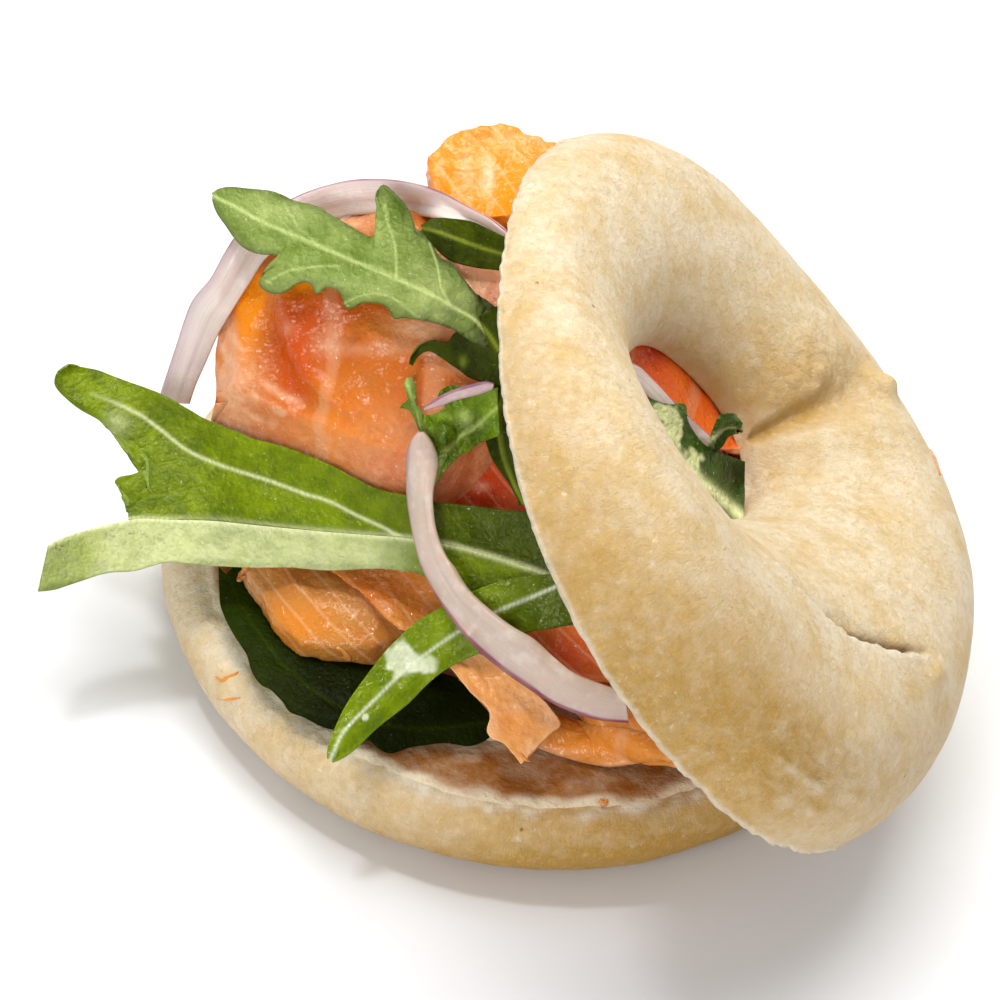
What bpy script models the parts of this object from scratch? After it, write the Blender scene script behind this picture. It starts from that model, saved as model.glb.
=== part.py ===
# Open bagel with smoked salmon, rocket, red onion and soft cheese.
# Lengths are millimetres above the cut face of the lower bun until make_object scales them to metres.
import math
import bpy
import numpy as np

MM = 0.001
GAP = 0.3                      # air between touching pieces

# lower bun
BUN_RADIUS = 55.0
BUN_THICK = 14.5
BUN_CUT_RADIUS = 50.3          # edge of the cut face
BUN_BASE_RADIUS = 46.5
BUN_HOLE = 9.0

# upper bun: leans with its cut face on the rim of the lower bun
TOP_NORMAL = (0.7548, -0.0688, 0.6523)
TOP_CENTRE = (19.8, -17.9, 36.0)
TOP_HOLE_CENTRE = (6.9, 5.7)   # along the bun's own slope and across it
TOP_HOLE_LONG = 20.3
TOP_HOLE_SHORT = 13.8
TOP_HOLE_TURN = math.radians(-38.0)
TOP_HOLE_WAVE = (-0.9, 0.3)    # threefold unroundness
TOP_CREST_SHIFT = 1.175        # moves the crest of the crust towards the rim
TOP_RADIUS = (54.6, -0.7, -0.1, -1.1)       # mean, then waves 2, 3 and 4 round the rim
TOP_HEIGHT = (15.8, -4.8, -3.8, -1.8, -0.1)      # mean, side to side, front to back, threefold

# heap of filling
RIDGE_Y = 20.0
RIDGE_HEIGHT = 52.0
RIDGE_REACH = 62.0
SHELF_HEIGHT = 12.0
SHELF_RADIUS = 56.0
CREAM_TOP = 2.2
LEAF_THICK = 0.6
ONION_THICK = 2.4
SLICE_THICK = 3.0
LEAST_THICK = 0.35             # a piece squeezed under the upper bun stays this thick
STEEP_LIMIT = 1.9              # most that a steep piece's upright thickness grows
HEAP_UNDER_TOP = 3.2           # air between the heap and the upper bun's cut face
BAND_FACING = (-0.09, -0.71, 0.70)       # the flat side of the onion rings looks this way
BAND_COLUMNS = 5

LEFT_REACH = (18, 21, 26, 32, 36, 38, 33, 26, 21.5, 20.5, 22.5, 25, 23, 20, 17.5, 17, 18)
RIGHT_REACH = (27, 29, 34, 40, 44, 36, 25, 19, 17, 17, 20, 28, 36, 36.5, 31, 28, 27)

CORE_LEFT = -45.5              # the filling's layers stay inside the big slice here

PILE_STEP = 1.0                # grid on which the pile of pieces is measured
PILE_X = (-82.0, 66.0)
PILE_Y = (-62.0, 62.0)
PILE_EMPTY = -60.0             # level of a spot that nothing covers
SETTLE_CELLS = 2               # a piece rests on the highest spot this many cells around
TRIANGLE_SLACK = 0.15          # share by which a triangle covers spots beside it


def clear_scene():
    for item in list(bpy.data.objects):
        bpy.data.objects.remove(item, do_unlink=True)


def make_material(name, colour, roughness):
    material = bpy.data.materials.new(name)
    material.use_nodes = True
    shader = material.node_tree.nodes["Principled BSDF"]
    shader.inputs["Base Color"].default_value = (*colour, 1.0)
    shader.inputs["Roughness"].default_value = roughness
    return material


def make_object(name, points, faces, material, smooth=True):
    mesh = bpy.data.meshes.new(name)
    lifted = [(x * MM, y * MM, (z + BUN_THICK) * MM) for x, y, z in points]
    mesh.from_pydata(lifted, [], faces)
    mesh.validate()
    mesh.materials.append(material)
    if smooth:
        for face in mesh.polygons:
            face.use_smooth = True
    piece = bpy.data.objects.new(name, mesh)
    bpy.context.scene.collection.objects.link(piece)
    return piece


def spline(points, t):
    """Smooth curve through the points, t from 0 to 1."""
    count = len(points) - 1
    place = min(max(t, 0.0), 1.0) * count
    k = min(int(place), count - 1)
    f = place - k
    p0 = points[max(k - 1, 0)]
    p1 = points[k]
    p2 = points[k + 1]
    p3 = points[min(k + 2, count)]
    out = []
    for a, b, c, d in zip(p0, p1, p2, p3):
        out.append(0.5 * (2 * b + (c - a) * f + (2 * a - 5 * b + 4 * c - d) * f * f
                          + (3 * b - a - 3 * c + d) * f ** 3))
    return out


def unit(v):
    size = math.sqrt(sum(c * c for c in v))
    return [c / size for c in v]


def cross(a, b):
    return [a[1] * b[2] - a[2] * b[1], a[2] * b[0] - a[0] * b[2], a[0] * b[1] - a[1] * b[0]]


def smooth_min(a, b, reach):
    h = max(0.0, min(1.0, 0.5 + 0.5 * (b - a) / reach))
    return b * (1 - h) + a * h - reach * h * (1 - h)


def top_axes():
    n = unit(TOP_NORMAL)
    across = unit([-n[1] * n[0], 1 - n[1] * n[1], -n[1] * n[2]])
    return cross(n, across), across, n


def ceiling(x, y):
    """Height of the upper bun's cut face."""
    n = unit(TOP_NORMAL)
    level = sum(a * b for a, b in zip(n, TOP_CENTRE))
    return (level - n[0] * x - n[1] * y) / n[2]


def heap(x, y):
    """Height of the heaped filling over the cut face."""
    left = min(max(-x, 0.0), RIDGE_REACH - 0.1) / RIDGE_REACH
    ridge = RIDGE_HEIGHT * (1 - left ** 4)
    half = math.sqrt(max(50.0 ** 2 - x * x, 16.0 ** 2))
    sharp = 1.2 + max(0.0, min(1.0, (x + 30.0) / 30.0))
    if y < RIDGE_Y:
        t = min(1.0, (RIDGE_Y - y) / (half + RIDGE_Y))
        fall = (1 - t ** sharp) ** 1.5
    else:
        t = min(1.0, (y - RIDGE_Y) / max(half - 15.0, 10.0))
        fall = (1 - t ** 2.5) ** 1.2
    shelf = SHELF_HEIGHT * max(0.0, 1 - (math.hypot(x, y) / SHELF_RADIUS) ** 6)
    crest = ((ridge * fall) ** 4 + shelf ** 4) ** 0.25
    return smooth_min(crest, ceiling(x, y) - HEAP_UNDER_TOP, 6.0)


class Pile:
    """The highest point reached so far over each spot of the heap."""

    def __init__(self):
        self.nx = int((PILE_X[1] - PILE_X[0]) / PILE_STEP) + 1
        self.ny = int((PILE_Y[1] - PILE_Y[0]) / PILE_STEP) + 1
        self.top = np.full((self.nx, self.ny), PILE_EMPTY)
        for i in range(self.nx):
            for j in range(self.ny):
                r = math.hypot(PILE_X[0] + i * PILE_STEP, PILE_Y[0] + j * PILE_STEP)
                if r < BUN_CUT_RADIUS:
                    self.top[i, j] = 0.0
                elif r < BUN_RADIUS:
                    self.top[i, j] = -1.0
        self.spread = None

    def widen(self, cells):
        """Highest neighbour within the given number of cells."""
        wide = self.top.copy()
        for _ in range(cells):
            grown = wide.copy()
            grown[1:, :] = np.maximum(grown[1:, :], wide[:-1, :])
            grown[:-1, :] = np.maximum(grown[:-1, :], wide[1:, :])
            grown[:, 1:] = np.maximum(grown[:, 1:], wide[:, :-1])
            grown[:, :-1] = np.maximum(grown[:, :-1], wide[:, 1:])
            wide = grown
        self.spread = wide

    def floor(self, x, y):
        u = (x - PILE_X[0]) / PILE_STEP
        v = (y - PILE_Y[0]) / PILE_STEP
        i = int(min(max(u, 0), self.nx - 2))
        j = int(min(max(v, 0), self.ny - 2))
        block = self.spread[i:i + 2, j:j + 2]
        return float(block.max())

    def add(self, points, faces):
        for face in faces:
            a, b, c = [points[k] for k in face]
            self.add_triangle(a, b, c)

    def add_triangle(self, a, b, c):
        area = (b[0] - a[0]) * (c[1] - a[1]) - (c[0] - a[0]) * (b[1] - a[1])
        if abs(area) < 1e-9:
            return
        lo_i = max(int((min(a[0], b[0], c[0]) - PILE_X[0]) / PILE_STEP), 0)
        hi_i = min(int((max(a[0], b[0], c[0]) - PILE_X[0]) / PILE_STEP) + 2, self.nx)
        lo_j = max(int((min(a[1], b[1], c[1]) - PILE_Y[0]) / PILE_STEP), 0)
        hi_j = min(int((max(a[1], b[1], c[1]) - PILE_Y[0]) / PILE_STEP) + 2, self.ny)
        slack = TRIANGLE_SLACK
        for i in range(lo_i, hi_i):
            x = PILE_X[0] + i * PILE_STEP
            for j in range(lo_j, hi_j):
                y = PILE_Y[0] + j * PILE_STEP
                u = ((x - a[0]) * (c[1] - a[1]) - (c[0] - a[0]) * (y - a[1])) / area
                v = ((b[0] - a[0]) * (y - a[1]) - (x - a[0]) * (b[1] - a[1])) / area
                if u > -slack and v > -slack and u + v < 1 + slack:
                    z = a[2] + u * (b[2] - a[2]) + v * (c[2] - a[2])
                    self.top[i, j] = max(self.top[i, j], z)


PILE = Pile()


def grid_faces(rows, columns, around=False):
    """Triangles of a grid of points, the same split everywhere."""
    faces = []
    last = columns if around else columns - 1
    for i in range(rows - 1):
        for j in range(last):
            k = (j + 1) % columns
            a, b = i * columns + j, i * columns + k
            c, d = (i + 1) * columns + k, (i + 1) * columns + j
            faces.append((a, b, c))
            faces.append((a, c, d))
    return faces


def sheet(name, points, faces, thick, material, roof=True):
    """Thin solid from under-side points, their triangles and a thickness for each point."""
    under = [list(p) for p in points]
    near = neighbours(len(under), faces)
    PILE.widen(SETTLE_CELLS)
    for p in under:
        p[2] = max(p[2], PILE.floor(p[0], p[1]) + GAP)
    relax_up(under, near, faces)
    steep = steepness(under, faces)
    over = []
    for p, t, s in zip(under, thick, steep):
        top = p[2] + t * s
        if roof:
            top = min(top, ceiling(p[0], p[1]) - GAP / TOP_NORMAL[2])
            p[2] = min(p[2], top - LEAST_THICK)
        over.append((p[0], p[1], top))
    return close_sheet(name, over, under, faces, material)


def close_sheet(name, over, under, faces, material):
    """Join the two like-split faces of a sheet by a wall round the rim."""
    if facing_down(over, faces):
        faces = [tuple(reversed(f)) for f in faces]
    count = len(over)
    low_faces = [tuple(k + count for k in reversed(f)) for f in faces]
    side = []
    for a, b in rim_edges(faces):
        side.append((a, a + count, b + count))
        side.append((a, b + count, b))
    low = [tuple(p) for p in under]
    piece = make_object(name, list(over) + low, faces + low_faces + side, material)
    PILE.add(over, faces)
    return piece


def rim_edges(faces):
    """Edges that only one triangle has, in that triangle's sense."""
    used = {}
    for f in faces:
        for a, b in zip(f, f[1:] + f[:1]):
            used[(a, b)] = True
    return [(a, b) for a, b in used if (b, a) not in used]


def neighbours(count, faces):
    near = [set() for _ in range(count)]
    for f in faces:
        for a, b in zip(f, f[1:] + f[:1]):
            near[a].add(b)
            near[b].add(a)
    return [sorted(n) for n in near]


def relax_up(points, near, faces):
    """Lift hollows that a stiff sheet would bridge."""
    rim = {k for edge in rim_edges(faces) for k in edge}
    for _ in range(2):
        copy = [p[2] for p in points]
        for k, around in enumerate(near):
            if k not in rim:
                mean = sum(copy[n] for n in around) / len(around)
                points[k][2] = max(copy[k], mean)


def steepness(points, faces):
    """How much longer the upright thickness is than the thickness across the sheet."""
    normals = [[0.0, 0.0, 0.0] for _ in points]
    for f in faces:
        p, q, r = (points[k] for k in f)
        n = cross([b - a for a, b in zip(p, q)], [b - a for a, b in zip(p, r)])
        for k in f:
            for m in range(3):
                normals[k][m] += n[m]
    out = []
    for n in normals:
        size = math.sqrt(sum(c * c for c in n))
        out.append(min(STEEP_LIMIT, size / max(abs(n[2]), 1e-6)) if size > 1e-9 else 1.0)
    return out


def facing_down(points, faces):
    total = 0.0
    for a, b, c in faces:
        p, q, r = points[a], points[b], points[c]
        total += (q[0] - p[0]) * (r[1] - p[1]) - (r[0] - p[0]) * (q[1] - p[1])
    return total < 0


def along_line(line, u):
    """Point and direction on a curve."""
    ahead = spline(line, min(u + 0.02, 1.0))
    behind = spline(line, max(u - 0.02, 0.0))
    return spline(line, u), unit([q - p for p, q in zip(behind, ahead)])


def tooth(u, place, breadth):
    """A rounded lobe of a leaf's edge."""
    d = (u - place) / breadth
    return (1 - d * d) ** 1.2 if abs(d) < 1 else 0.0


def edge_width(side, u):
    direction, widths, lobes = side
    width = spline([(w,) for w in widths], u)[0]
    for place, reach, breadth in lobes:
        width += reach * tooth(u, place, breadth)
    return max(width, 0.3)


def leaf(name, rib, up, down, material, size, slant):
    """Leaf about its rib; up and down hold direction, half-width stations and lobes of each side."""
    rows, columns = size
    points = []
    for i in range(rows):
        u = i / (rows - 1)
        centre, along = along_line(rib, u)
        for j in range(columns):
            v = 2 * j / (columns - 1) - 1
            side = up if v > 0 else down
            far = abs(v) * edge_width(side, u)
            points.append([c + d * far - slant * a * far for c, d, a in zip(centre, side[0], along)])
    thick = [LEAF_THICK] * len(points)
    return sheet(name, points, grid_faces(rows, columns), thick, material)


def band(name, line, width, material, rows, depth=ONION_THICK):
    """Bent strip of onion with rounded long edges."""
    columns = BAND_COLUMNS
    points, thick = [], []
    for i in range(rows):
        centre, along = along_line(line, i / (rows - 1))
        side = unit(cross(unit(BAND_FACING), along))
        half = width(i / (rows - 1)) / 2
        for j in range(columns):
            v = 2 * j / (columns - 1) - 1
            points.append([c + s * v * half for c, s in zip(centre, side)])
            thick.append(depth * (0.35 + 0.65 * math.sqrt(max(0.0, 1 - v * v))))
    return sheet(name, points, grid_faces(rows, columns), thick, material)


def patch(name, low_edge, high_edge, under, thick, material, size):
    """Slice between two edges seen from above; under(x, y, u, v) is the height of its under side."""
    rows, columns = size
    points, depth = [], []
    for i in range(rows):
        u = i / (rows - 1)
        a = spline(low_edge, u)
        b = spline(high_edge, u)
        for j in range(columns):
            v = j / (columns - 1)
            x = a[0] + (b[0] - a[0]) * v
            y = a[1] + (b[1] - a[1]) * v
            points.append([x, y, under(x, y, u, v)])
            depth.append(thick(u, v))
    return sheet(name, points, grid_faces(rows, columns), depth, material)


def round_slice(name, centre, reach, under, over, material, size):
    """Layer of the heap: under and over give its two faces, reach its edge round the centre."""
    rings, turns = size
    PILE.widen(SETTLE_CELLS)
    low, high = [], []
    for i in range(rings + 1):
        for j in range(turns if i else 1):
            angle = 2 * math.pi * j / turns
            share = i / rings
            far = reach(angle) * share
            x = centre[0] + far * math.cos(angle)
            y = centre[1] + far * math.sin(angle)
            z0 = max(under(x, y), PILE.floor(x, y) + GAP)
            z1 = over(x, y)
            edge = share ** 6
            z1 = z1 * (1 - edge) + (z0 + 0.6 * (z1 - z0)) * edge
            low.append((x, y, z0))
            high.append((x, y, max(z1, z0 + 1.0)))
    faces = [(0, 1 + j, 1 + (j + 1) % turns) for j in range(turns)]
    for i in range(1, rings):
        a = 1 + (i - 1) * turns
        b = a + turns
        for j in range(turns):
            k = (j + 1) % turns
            faces.append((a + j, b + j, b + k))
            faces.append((a + j, b + k, a + k))
    return close_sheet(name, high, low, faces, material)


def bun_edge(angle):
    """Unroundness of the lower bun."""
    return (0.993 - 0.006 * math.cos(angle) + 0.030 * math.sin(angle)
            - 0.007 * math.cos(2 * angle) - 0.010 * math.sin(2 * angle)
            + 0.010 * math.cos(3 * angle) + 0.007 * math.sin(3 * angle))


def build_lower_bun(material):
    turns = 52
    outer = [(BUN_CUT_RADIUS, 0.0), (52.8, -1.2), (54.5, -3.4), (BUN_RADIUS, -6.2), (54.0, -9.2),
             (51.6, -11.9), (48.8, -13.7), (BUN_BASE_RADIUS, -BUN_THICK)]
    inner = [(17.0, -BUN_THICK), (12.5, -13.2), (BUN_HOLE, -9.5), (BUN_HOLE, -5.2), (10.5, -1.6),
             (13.0, 0.0)]
    profile = outer + inner
    points = []
    for r, z in profile:
        for j in range(turns):
            a = 2 * math.pi * j / turns
            stretch = bun_edge(a)
            points.append((r * stretch * math.cos(a), r * stretch * math.sin(a), z))
    rows = len(profile)
    faces = []
    for i in range(rows):
        n = (i + 1) % rows
        for j in range(turns):
            k = (j + 1) % turns
            faces.append((i * turns + j, n * turns + j, n * turns + k, i * turns + k))
    return make_object("bottom_bun", points, faces, material)


def rim_radius(angle):
    mean, two, three, four = TOP_RADIUS
    return mean + two * math.cos(2 * angle) + three * math.cos(3 * angle) + four * math.cos(4 * angle)


def hole_radius(angle):
    a = angle - TOP_HOLE_TURN
    oval = TOP_HOLE_LONG * TOP_HOLE_SHORT / math.hypot(TOP_HOLE_SHORT * math.cos(a),
                                                       TOP_HOLE_LONG * math.sin(a))
    return oval + TOP_HOLE_WAVE[0] * math.cos(3 * angle) + TOP_HOLE_WAVE[1] * math.sin(3 * angle)


def rim_from_hole(angle):
    """Distance from the hole's centre to the rim."""
    dx, dy = math.cos(angle), math.sin(angle)
    lean = dx * TOP_HOLE_CENTRE[0] + dy * TOP_HOLE_CENTRE[1]
    off = TOP_HOLE_CENTRE[0] ** 2 + TOP_HOLE_CENTRE[1] ** 2
    r = TOP_RADIUS[0]
    far = r
    for _ in range(4):
        far = -lean + math.sqrt(lean * lean - (off - r * r))
        r = rim_radius(math.atan2(TOP_HOLE_CENTRE[1] + far * dy, TOP_HOLE_CENTRE[0] + far * dx))
    return far


def crust_height(angle):
    mean, side, front, three_a, three_b = TOP_HEIGHT
    return (mean + side * math.cos(angle) + front * math.sin(angle)
            + three_a * math.cos(3 * angle) + three_b * math.sin(3 * angle))


def valley(distance, depth, breadth):
    return depth * math.exp(-(distance / breadth) ** 2)


def crust_dip(angle, share):
    """Creases where one end of the dough rope lies over the other."""
    turn = math.degrees(angle) % 360
    upper = valley((turn - 139.0) / 7.0, 2.6, 1.0) * min(1.0, share * 6) * (1 - share) ** 0.5
    lower = 0.0
    if 205 < turn < 292:
        lower = valley((share - 0.52) / 0.05, 1.8, 1.0)
        lower *= min(1.0, (turn - 205) / 10) * min(1.0, (292 - turn) / 10)
    return upper + lower


def build_upper_bun(material):
    turns = 60
    steps = 16
    slope, across, normal = top_axes()
    loops = []
    for i in range(steps + 1):
        share = i / steps
        loops.append([])
        for j in range(turns):
            angle = 2 * math.pi * j / turns
            near, far = hole_radius(angle), rim_from_hole(angle)
            r = near + (far - near) * (1 - math.cos(math.pi * share)) / 2
            lift = max(0.0, math.sin(math.pi * share ** TOP_CREST_SHIFT))
            h = crust_height(angle) * lift ** 0.9
            if 0 < i < steps:
                h = max(h - crust_dip(angle, share), 1.2)
            a = TOP_HOLE_CENTRE[0] + r * math.cos(angle)
            b = TOP_HOLE_CENTRE[1] + r * math.sin(angle)
            loops[-1].append([c + a * s + b * t + max(h, 0.0) * n
                              for c, s, t, n in zip(TOP_CENTRE, slope, across, normal)])
    points = [tuple(p) for loop in loops for p in loop]
    rows = steps + 1
    faces = []
    for i in range(rows):
        n = (i + 1) % rows
        for j in range(turns):
            k = (j + 1) % turns
            quad = (i * turns + j, i * turns + k, n * turns + k, n * turns + j)
            faces.append(quad)
    return make_object("top_bun", points, faces, material)


def build_cream(material):
    turns, rings = 36, 4
    low, high = [], []
    for i in range(rings + 1):
        share = i / rings
        for j in range(turns):
            a = 2 * math.pi * j / turns
            edge = 40.4 + 1.0 * math.sin(3 * a + 0.4) + 0.8 * math.sin(7 * a)
            r = 16.0 + (edge - 16.0) * share
            x, y = r * math.cos(a), r * math.sin(a)
            top = CREAM_TOP + 0.25 * math.sin(0.35 * x) * math.sin(0.3 * y)
            if i in (0, rings):
                top = 1.1
            low.append((x, y, GAP))
            high.append((x, y, top))
    return close_sheet("cream_cheese", high, low, grid_faces(rings + 1, turns, around=True), material)


def layer_reach(centre, floor_height, limit, margin):
    """Edge of a layer: where the heap is only just higher than the layer's floor."""
    def reach(angle):
        r = 4.0
        while r < limit:
            x = centre[0] + r * math.cos(angle)
            y = centre[1] + r * math.sin(angle)
            if heap(x, y) < floor_height + margin or x < CORE_LEFT:
                break
            r += 0.5
        wave = 1.1 * math.sin(5 * angle + floor_height) + 0.7 * math.sin(9 * angle)
        return r + wave
    return reach


def build_core(materials):
    """Folded slices that fill the heap, one over the other."""
    salmon = materials["salmon"]
    red = materials["salmon_red"]

    def left_edge(angle):
        return spline([(w,) for w in LEFT_REACH], angle / (2 * math.pi))[0] + 0.5 * math.sin(11 * angle)

    def right_edge(angle):
        return spline([(w,) for w in RIGHT_REACH], angle / (2 * math.pi))[0] + 0.4 * math.sin(9 * angle)

    round_slice("salmon_lower_left", (-24.0, -4.0), left_edge, lambda x, y: 3.0,
                lambda x, y: min(heap(x, y) - 0.6, 11.5), salmon, (5, 28))
    round_slice("salmon_lower_right", (16.5, -6.0), right_edge, lambda x, y: 2.8,
                lambda x, y: min(heap(x, y) - 0.6, 9.5), salmon, (5, 28))
    round_slice("salmon_inner_low", (-2.0, 2.0), layer_reach((-2.0, 2.0), 12.0, 50.0, 3.2),
                lambda x, y: 11.0, lambda x, y: min(heap(x, y) - cover(x, y), 22.0), red, (5, 26))
    round_slice("salmon_inner_mid", (-6.0, 8.0), layer_reach((-6.0, 8.0), 23.0, 46.0, 4.2),
                lambda x, y: 22.5, lambda x, y: min(heap(x, y) - cover(x, y), 34.0), red, (4, 24))
    round_slice("salmon_inner_high", (-12.0, 16.0), layer_reach((-12.0, 16.0), 35.0, 40.0, 5.0),
                lambda x, y: 34.5, lambda x, y: heap(x, y) - cover(x, y), red, (4, 24))


def cover(x, y):
    """Room kept over the core for the big folded slice on the left."""
    share = max(0.0, min(1.0, (2.0 - x) / 14.0))
    slope = max(0.0, min(1.0, (4.0 - y) / 10.0))
    return 0.6 + (5.2 + 3.2 * slope) * share


def main_fold(x, y, u, v):
    """Heaped surface with the deep crease beside the left curl."""
    line = (x + 44.0) * 0.75 + (y - 10.0) * 0.45
    crease = 2.6 * math.exp(-(line / 3.0) ** 2) * (1 - v)
    wave = 0.5 * math.sin(0.35 * x + 0.2 * y) + 0.4 * math.sin(0.5 * y - 0.15 * x)
    curl = 5.0 * max(0.0, 1 - math.hypot(x + 50.0, y - 24.0) / 9.0)
    return heap(x, y) - 5.0 + wave - crease + curl


def build_salmon(materials):
    salmon = materials["salmon"]
    main_low = [(-49.6, 5.2), (-44.5, 1.8), (-38, -2.6), (-31.5, -7.8), (-25, -12.0), (-19, -14.6), (-13, -12),
                (-2, -2), (8, 6)]
    main_high = [(-50.3, 23.5), (-45.5, 26.5), (-38, 29), (-32, 31), (-25, 32), (-18, 32), (-11, 31.5), (-3, 30),
                 (8, 27)]
    patch("salmon_main", main_low, main_high,
          main_fold, lambda u, v: SLICE_THICK * (0.55 + 0.45 * math.sin(math.pi * v) ** 0.5),
          salmon, (20, 10))
    patch("salmon_back_pink", [(-18, 4), (-12, 2), (-6, 0)], [(-19, 13), (-14, 12), (-7, 10)],
          lambda x, y, u, v: heap(x, y), lambda u, v: 1.4, materials["salmon_pink"], (6, 6))
    patch("salmon_top_back", [(-21, 20), (-14, 18), (-7, 17), (0, 16)],
          [(-22.5, 29.0), (-18.5, 33), (-11, 35.5), (0, 34)],
          lambda x, y, u, v: 46.5 + 4.0 * v + 3.5 * math.sin(math.pi * u), lambda u, v: 3.0,
          materials["salmon_gold"], (9, 7))
    patch("salmon_tab", [(-15.3, -35.0), (-12.3, -38.6), (-8.4, -41.5), (-6.2, -44.8), (-2.0, -46.4)],
          [(-8.4, -33.4), (-4.2, -35.4), (0.2, -38.6), (3.0, -41.0), (-1.0, -46.0)],
          lambda x, y, u, v: 12.0 - 7.5 * u, lambda u, v: 1.6, salmon, (11, 5))


def build_left_leaf(material):
    """Big rocket leaf, folded along its rib: a pale half in front and a long dark lobe behind."""
    rib = [(-73.3, -16.4, 11.0), (-66.9, -11.1, 11.0), (-60.1, -8.6, 11.3), (-48.6, -8.1, 12.0),
           (-40.0, -11.5, 15.5), (-29.2, -14.8, 19.0), (-20.7, -18.2, 22.0), (-12.1, -22.1, 24.8),
           (-0.4, -27.4, 26.0), (7.1, -30.6, 26.0)]
    low = [(-73.9, -23.0, 8.5), (-67.9, -20.3, 8.5), (-59.7, -17.2, 8.6), (-48.2, -14.8, 9.5),
           (-39.5, -16.8, 12.0), (-28.8, -19.0, 15.5), (-20.0, -22.0, 19.0), (-10.0, -28.0, 21.5),
           (1.5, -33.8, 23.0), (9.0, -36.6, 23.0)]
    high = [(-73.0, 10.7, 20.5), (-63.4, 11.8, 20.5), (-55.6, 8.7, 20.5), (-49.7, 4.7, 20.3),
            (-40.8, -0.8, 21.7), (-32.1, -7.6, 24.6), (-20.1, -15.8, 28.3), (-5.6, -20.4, 31.7),
            (4.8, -23.5, 32.0)]
    left = [(-61.0, -8.9, 11.3), (-61.7, -5.6, 13.0), (-63.2, -3.9, 14.0), (-58.6, -0.9, 14.8),
            (-59.2, 0.8, 15.5), (-63.9, 3.7, 17.0), (-70.1, 5.9, 19.0), (-73.1, 8.4, 20.3)]
    rows, front, back = 25, 4, 9
    first = 5
    points = []
    for i in range(rows):
        u = i / (rows - 1)
        a, b = spline(rib, u), spline(low, u)
        for j in range(front):
            v = j / (front - 1)
            points.append([p + (q - p) * v for p, q in zip(a, b)])
    faces = grid_faces(rows, front)
    index = {}
    corner_low = spline(rib, first / (rows - 1))
    for i in range(first, rows):
        t = (i - first) / (rows - 1 - first)
        a, b = spline(rib, i / (rows - 1)), spline(high, t)
        index[(i, 0)] = i * front
        for j in range(1, back):
            v = j / (back - 1)
            bend = spline(left, v)
            straight = [p + (q - p) * v for p, q in zip(corner_low, high[0])]
            fade = (1 - t) ** 4
            index[(i, j)] = len(points)
            points.append([p + (q - p) * v + (c - s) * fade
                           for p, q, c, s in zip(a, b, bend, straight)])
    for i in range(first, rows - 1):
        for j in range(back - 1):
            a, b = index[(i, j)], index[(i, j + 1)]
            c, d = index[(i + 1, j + 1)], index[(i + 1, j)]
            faces.append((a, c, b))
            faces.append((a, d, c))
    return sheet("leaf_left", points, faces, [LEAF_THICK] * len(points), material)


def build_leaves(materials):
    dark = materials["leaf_dark"]
    green = materials["leaf_green"]
    leaf("leaf_dark_side", [(-10.9, 2.5, 46.3), (-9.5, -3.9, 42.4), (-7.7, -9.9, 38.2), (-5.6, -15.7, 33.7),
                            (-2.9, -21.3, 29.2)],
         ((0.99, 0.0, 0.13), (3.0, 3.4, 3.4, 3.2, 2.0), []),
         ((-0.99, 0.0, -0.13), (2.2, 2.6, 2.2, 2.0, 1.6), []), dark, (12, 5), slant=0.0)
    leaf("leaf_hook", [(-8.0, -4.9, 43.6), (-12.5, -2.6, 43.9), (-15.9, -0.6, 43.8), (-19.1, 1.0, 43.2),
                       (-21.9, 1.5, 42.2), (-23.2, -0.6, 40.0)],
         ((-0.1, 0.75, 0.62), (5.0, 4.4, 3.0, 1.5, 1.0, 0.4), []),
         ((0.1, -0.75, -0.62), (4.5, 3.6, 2.6, 1.3, 0.9, 0.4), []), dark, (12, 5), slant=0.0)
    leaf("sprig", [(-23.5, -0.4, 38.9), (-22.9, -2.5, 37.6), (-21.8, -4.6, 36.4), (-20.2, -7.3, 35.0)],
         ((0.9, 0.2, 0.0), (0.5, 0.7, 0.7, 0.7), []),
         ((-0.9, -0.2, 0.0), (0.5, 0.7, 0.7, 0.7), [(0.6, 1.5, 0.2)]), green, (9, 3),
         slant=-0.6)
    leaf("leaf_cluster", [(-8.1, -8.8, 40.8), (-13.8, -9.5, 38.0), (-17.2, -11.6, 34.4), (-18.6, -15.0, 30.0)],
         ((-0.5, 0.65, 0.45), (2.8, 4.2, 3.0, 0.4), []),
         ((0.45, -0.68, -0.5), (3.2, 4.6, 2.6, 0.4), []), green, (11, 5), slant=0.1)
    leaf("leaf_upper", [(-53.3, 25.0, 46.5), (-43.4, 19.6, 47.0), (-33.1, 12.2, 48.0), (-22.8, 6.3, 49.0),
                        (-14.7, 1.2, 49.2)],
         ((0.12, 0.84, 0.50), (0.3, 2.9, 4.1, 4.6, 5.0, 5.6, 9.2, 6.2, 3.1), [(0.645, 6.4, 0.05)]),
         ((-0.12, -0.84, -0.50), (0.3, 4.0, 5.4, 5.2, 5.4, 4.8, 3.8, 3.3, 1.9),
          [(0.375, 4.7, 0.06), (0.64, 1.8, 0.04), (0.78, 1.0, 0.04)]),
         materials["leaf_pale"], (32, 7), slant=0.33)
    leaf("leaf_oblong", [(-23.6, 14.8, 53.4), (-17.6, 12.6, 54.2), (-10.4, 9.0, 54.2), (-5.0, 6.0, 53.2)],
         ((0.0, 0.82, 0.57), (0.4, 3.1, 2.8, 1.6), []),
         ((0.0, -0.82, -0.57), (0.4, 3.1, 2.8, 1.6), []), dark, (10, 5), slant=0.0)


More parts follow.
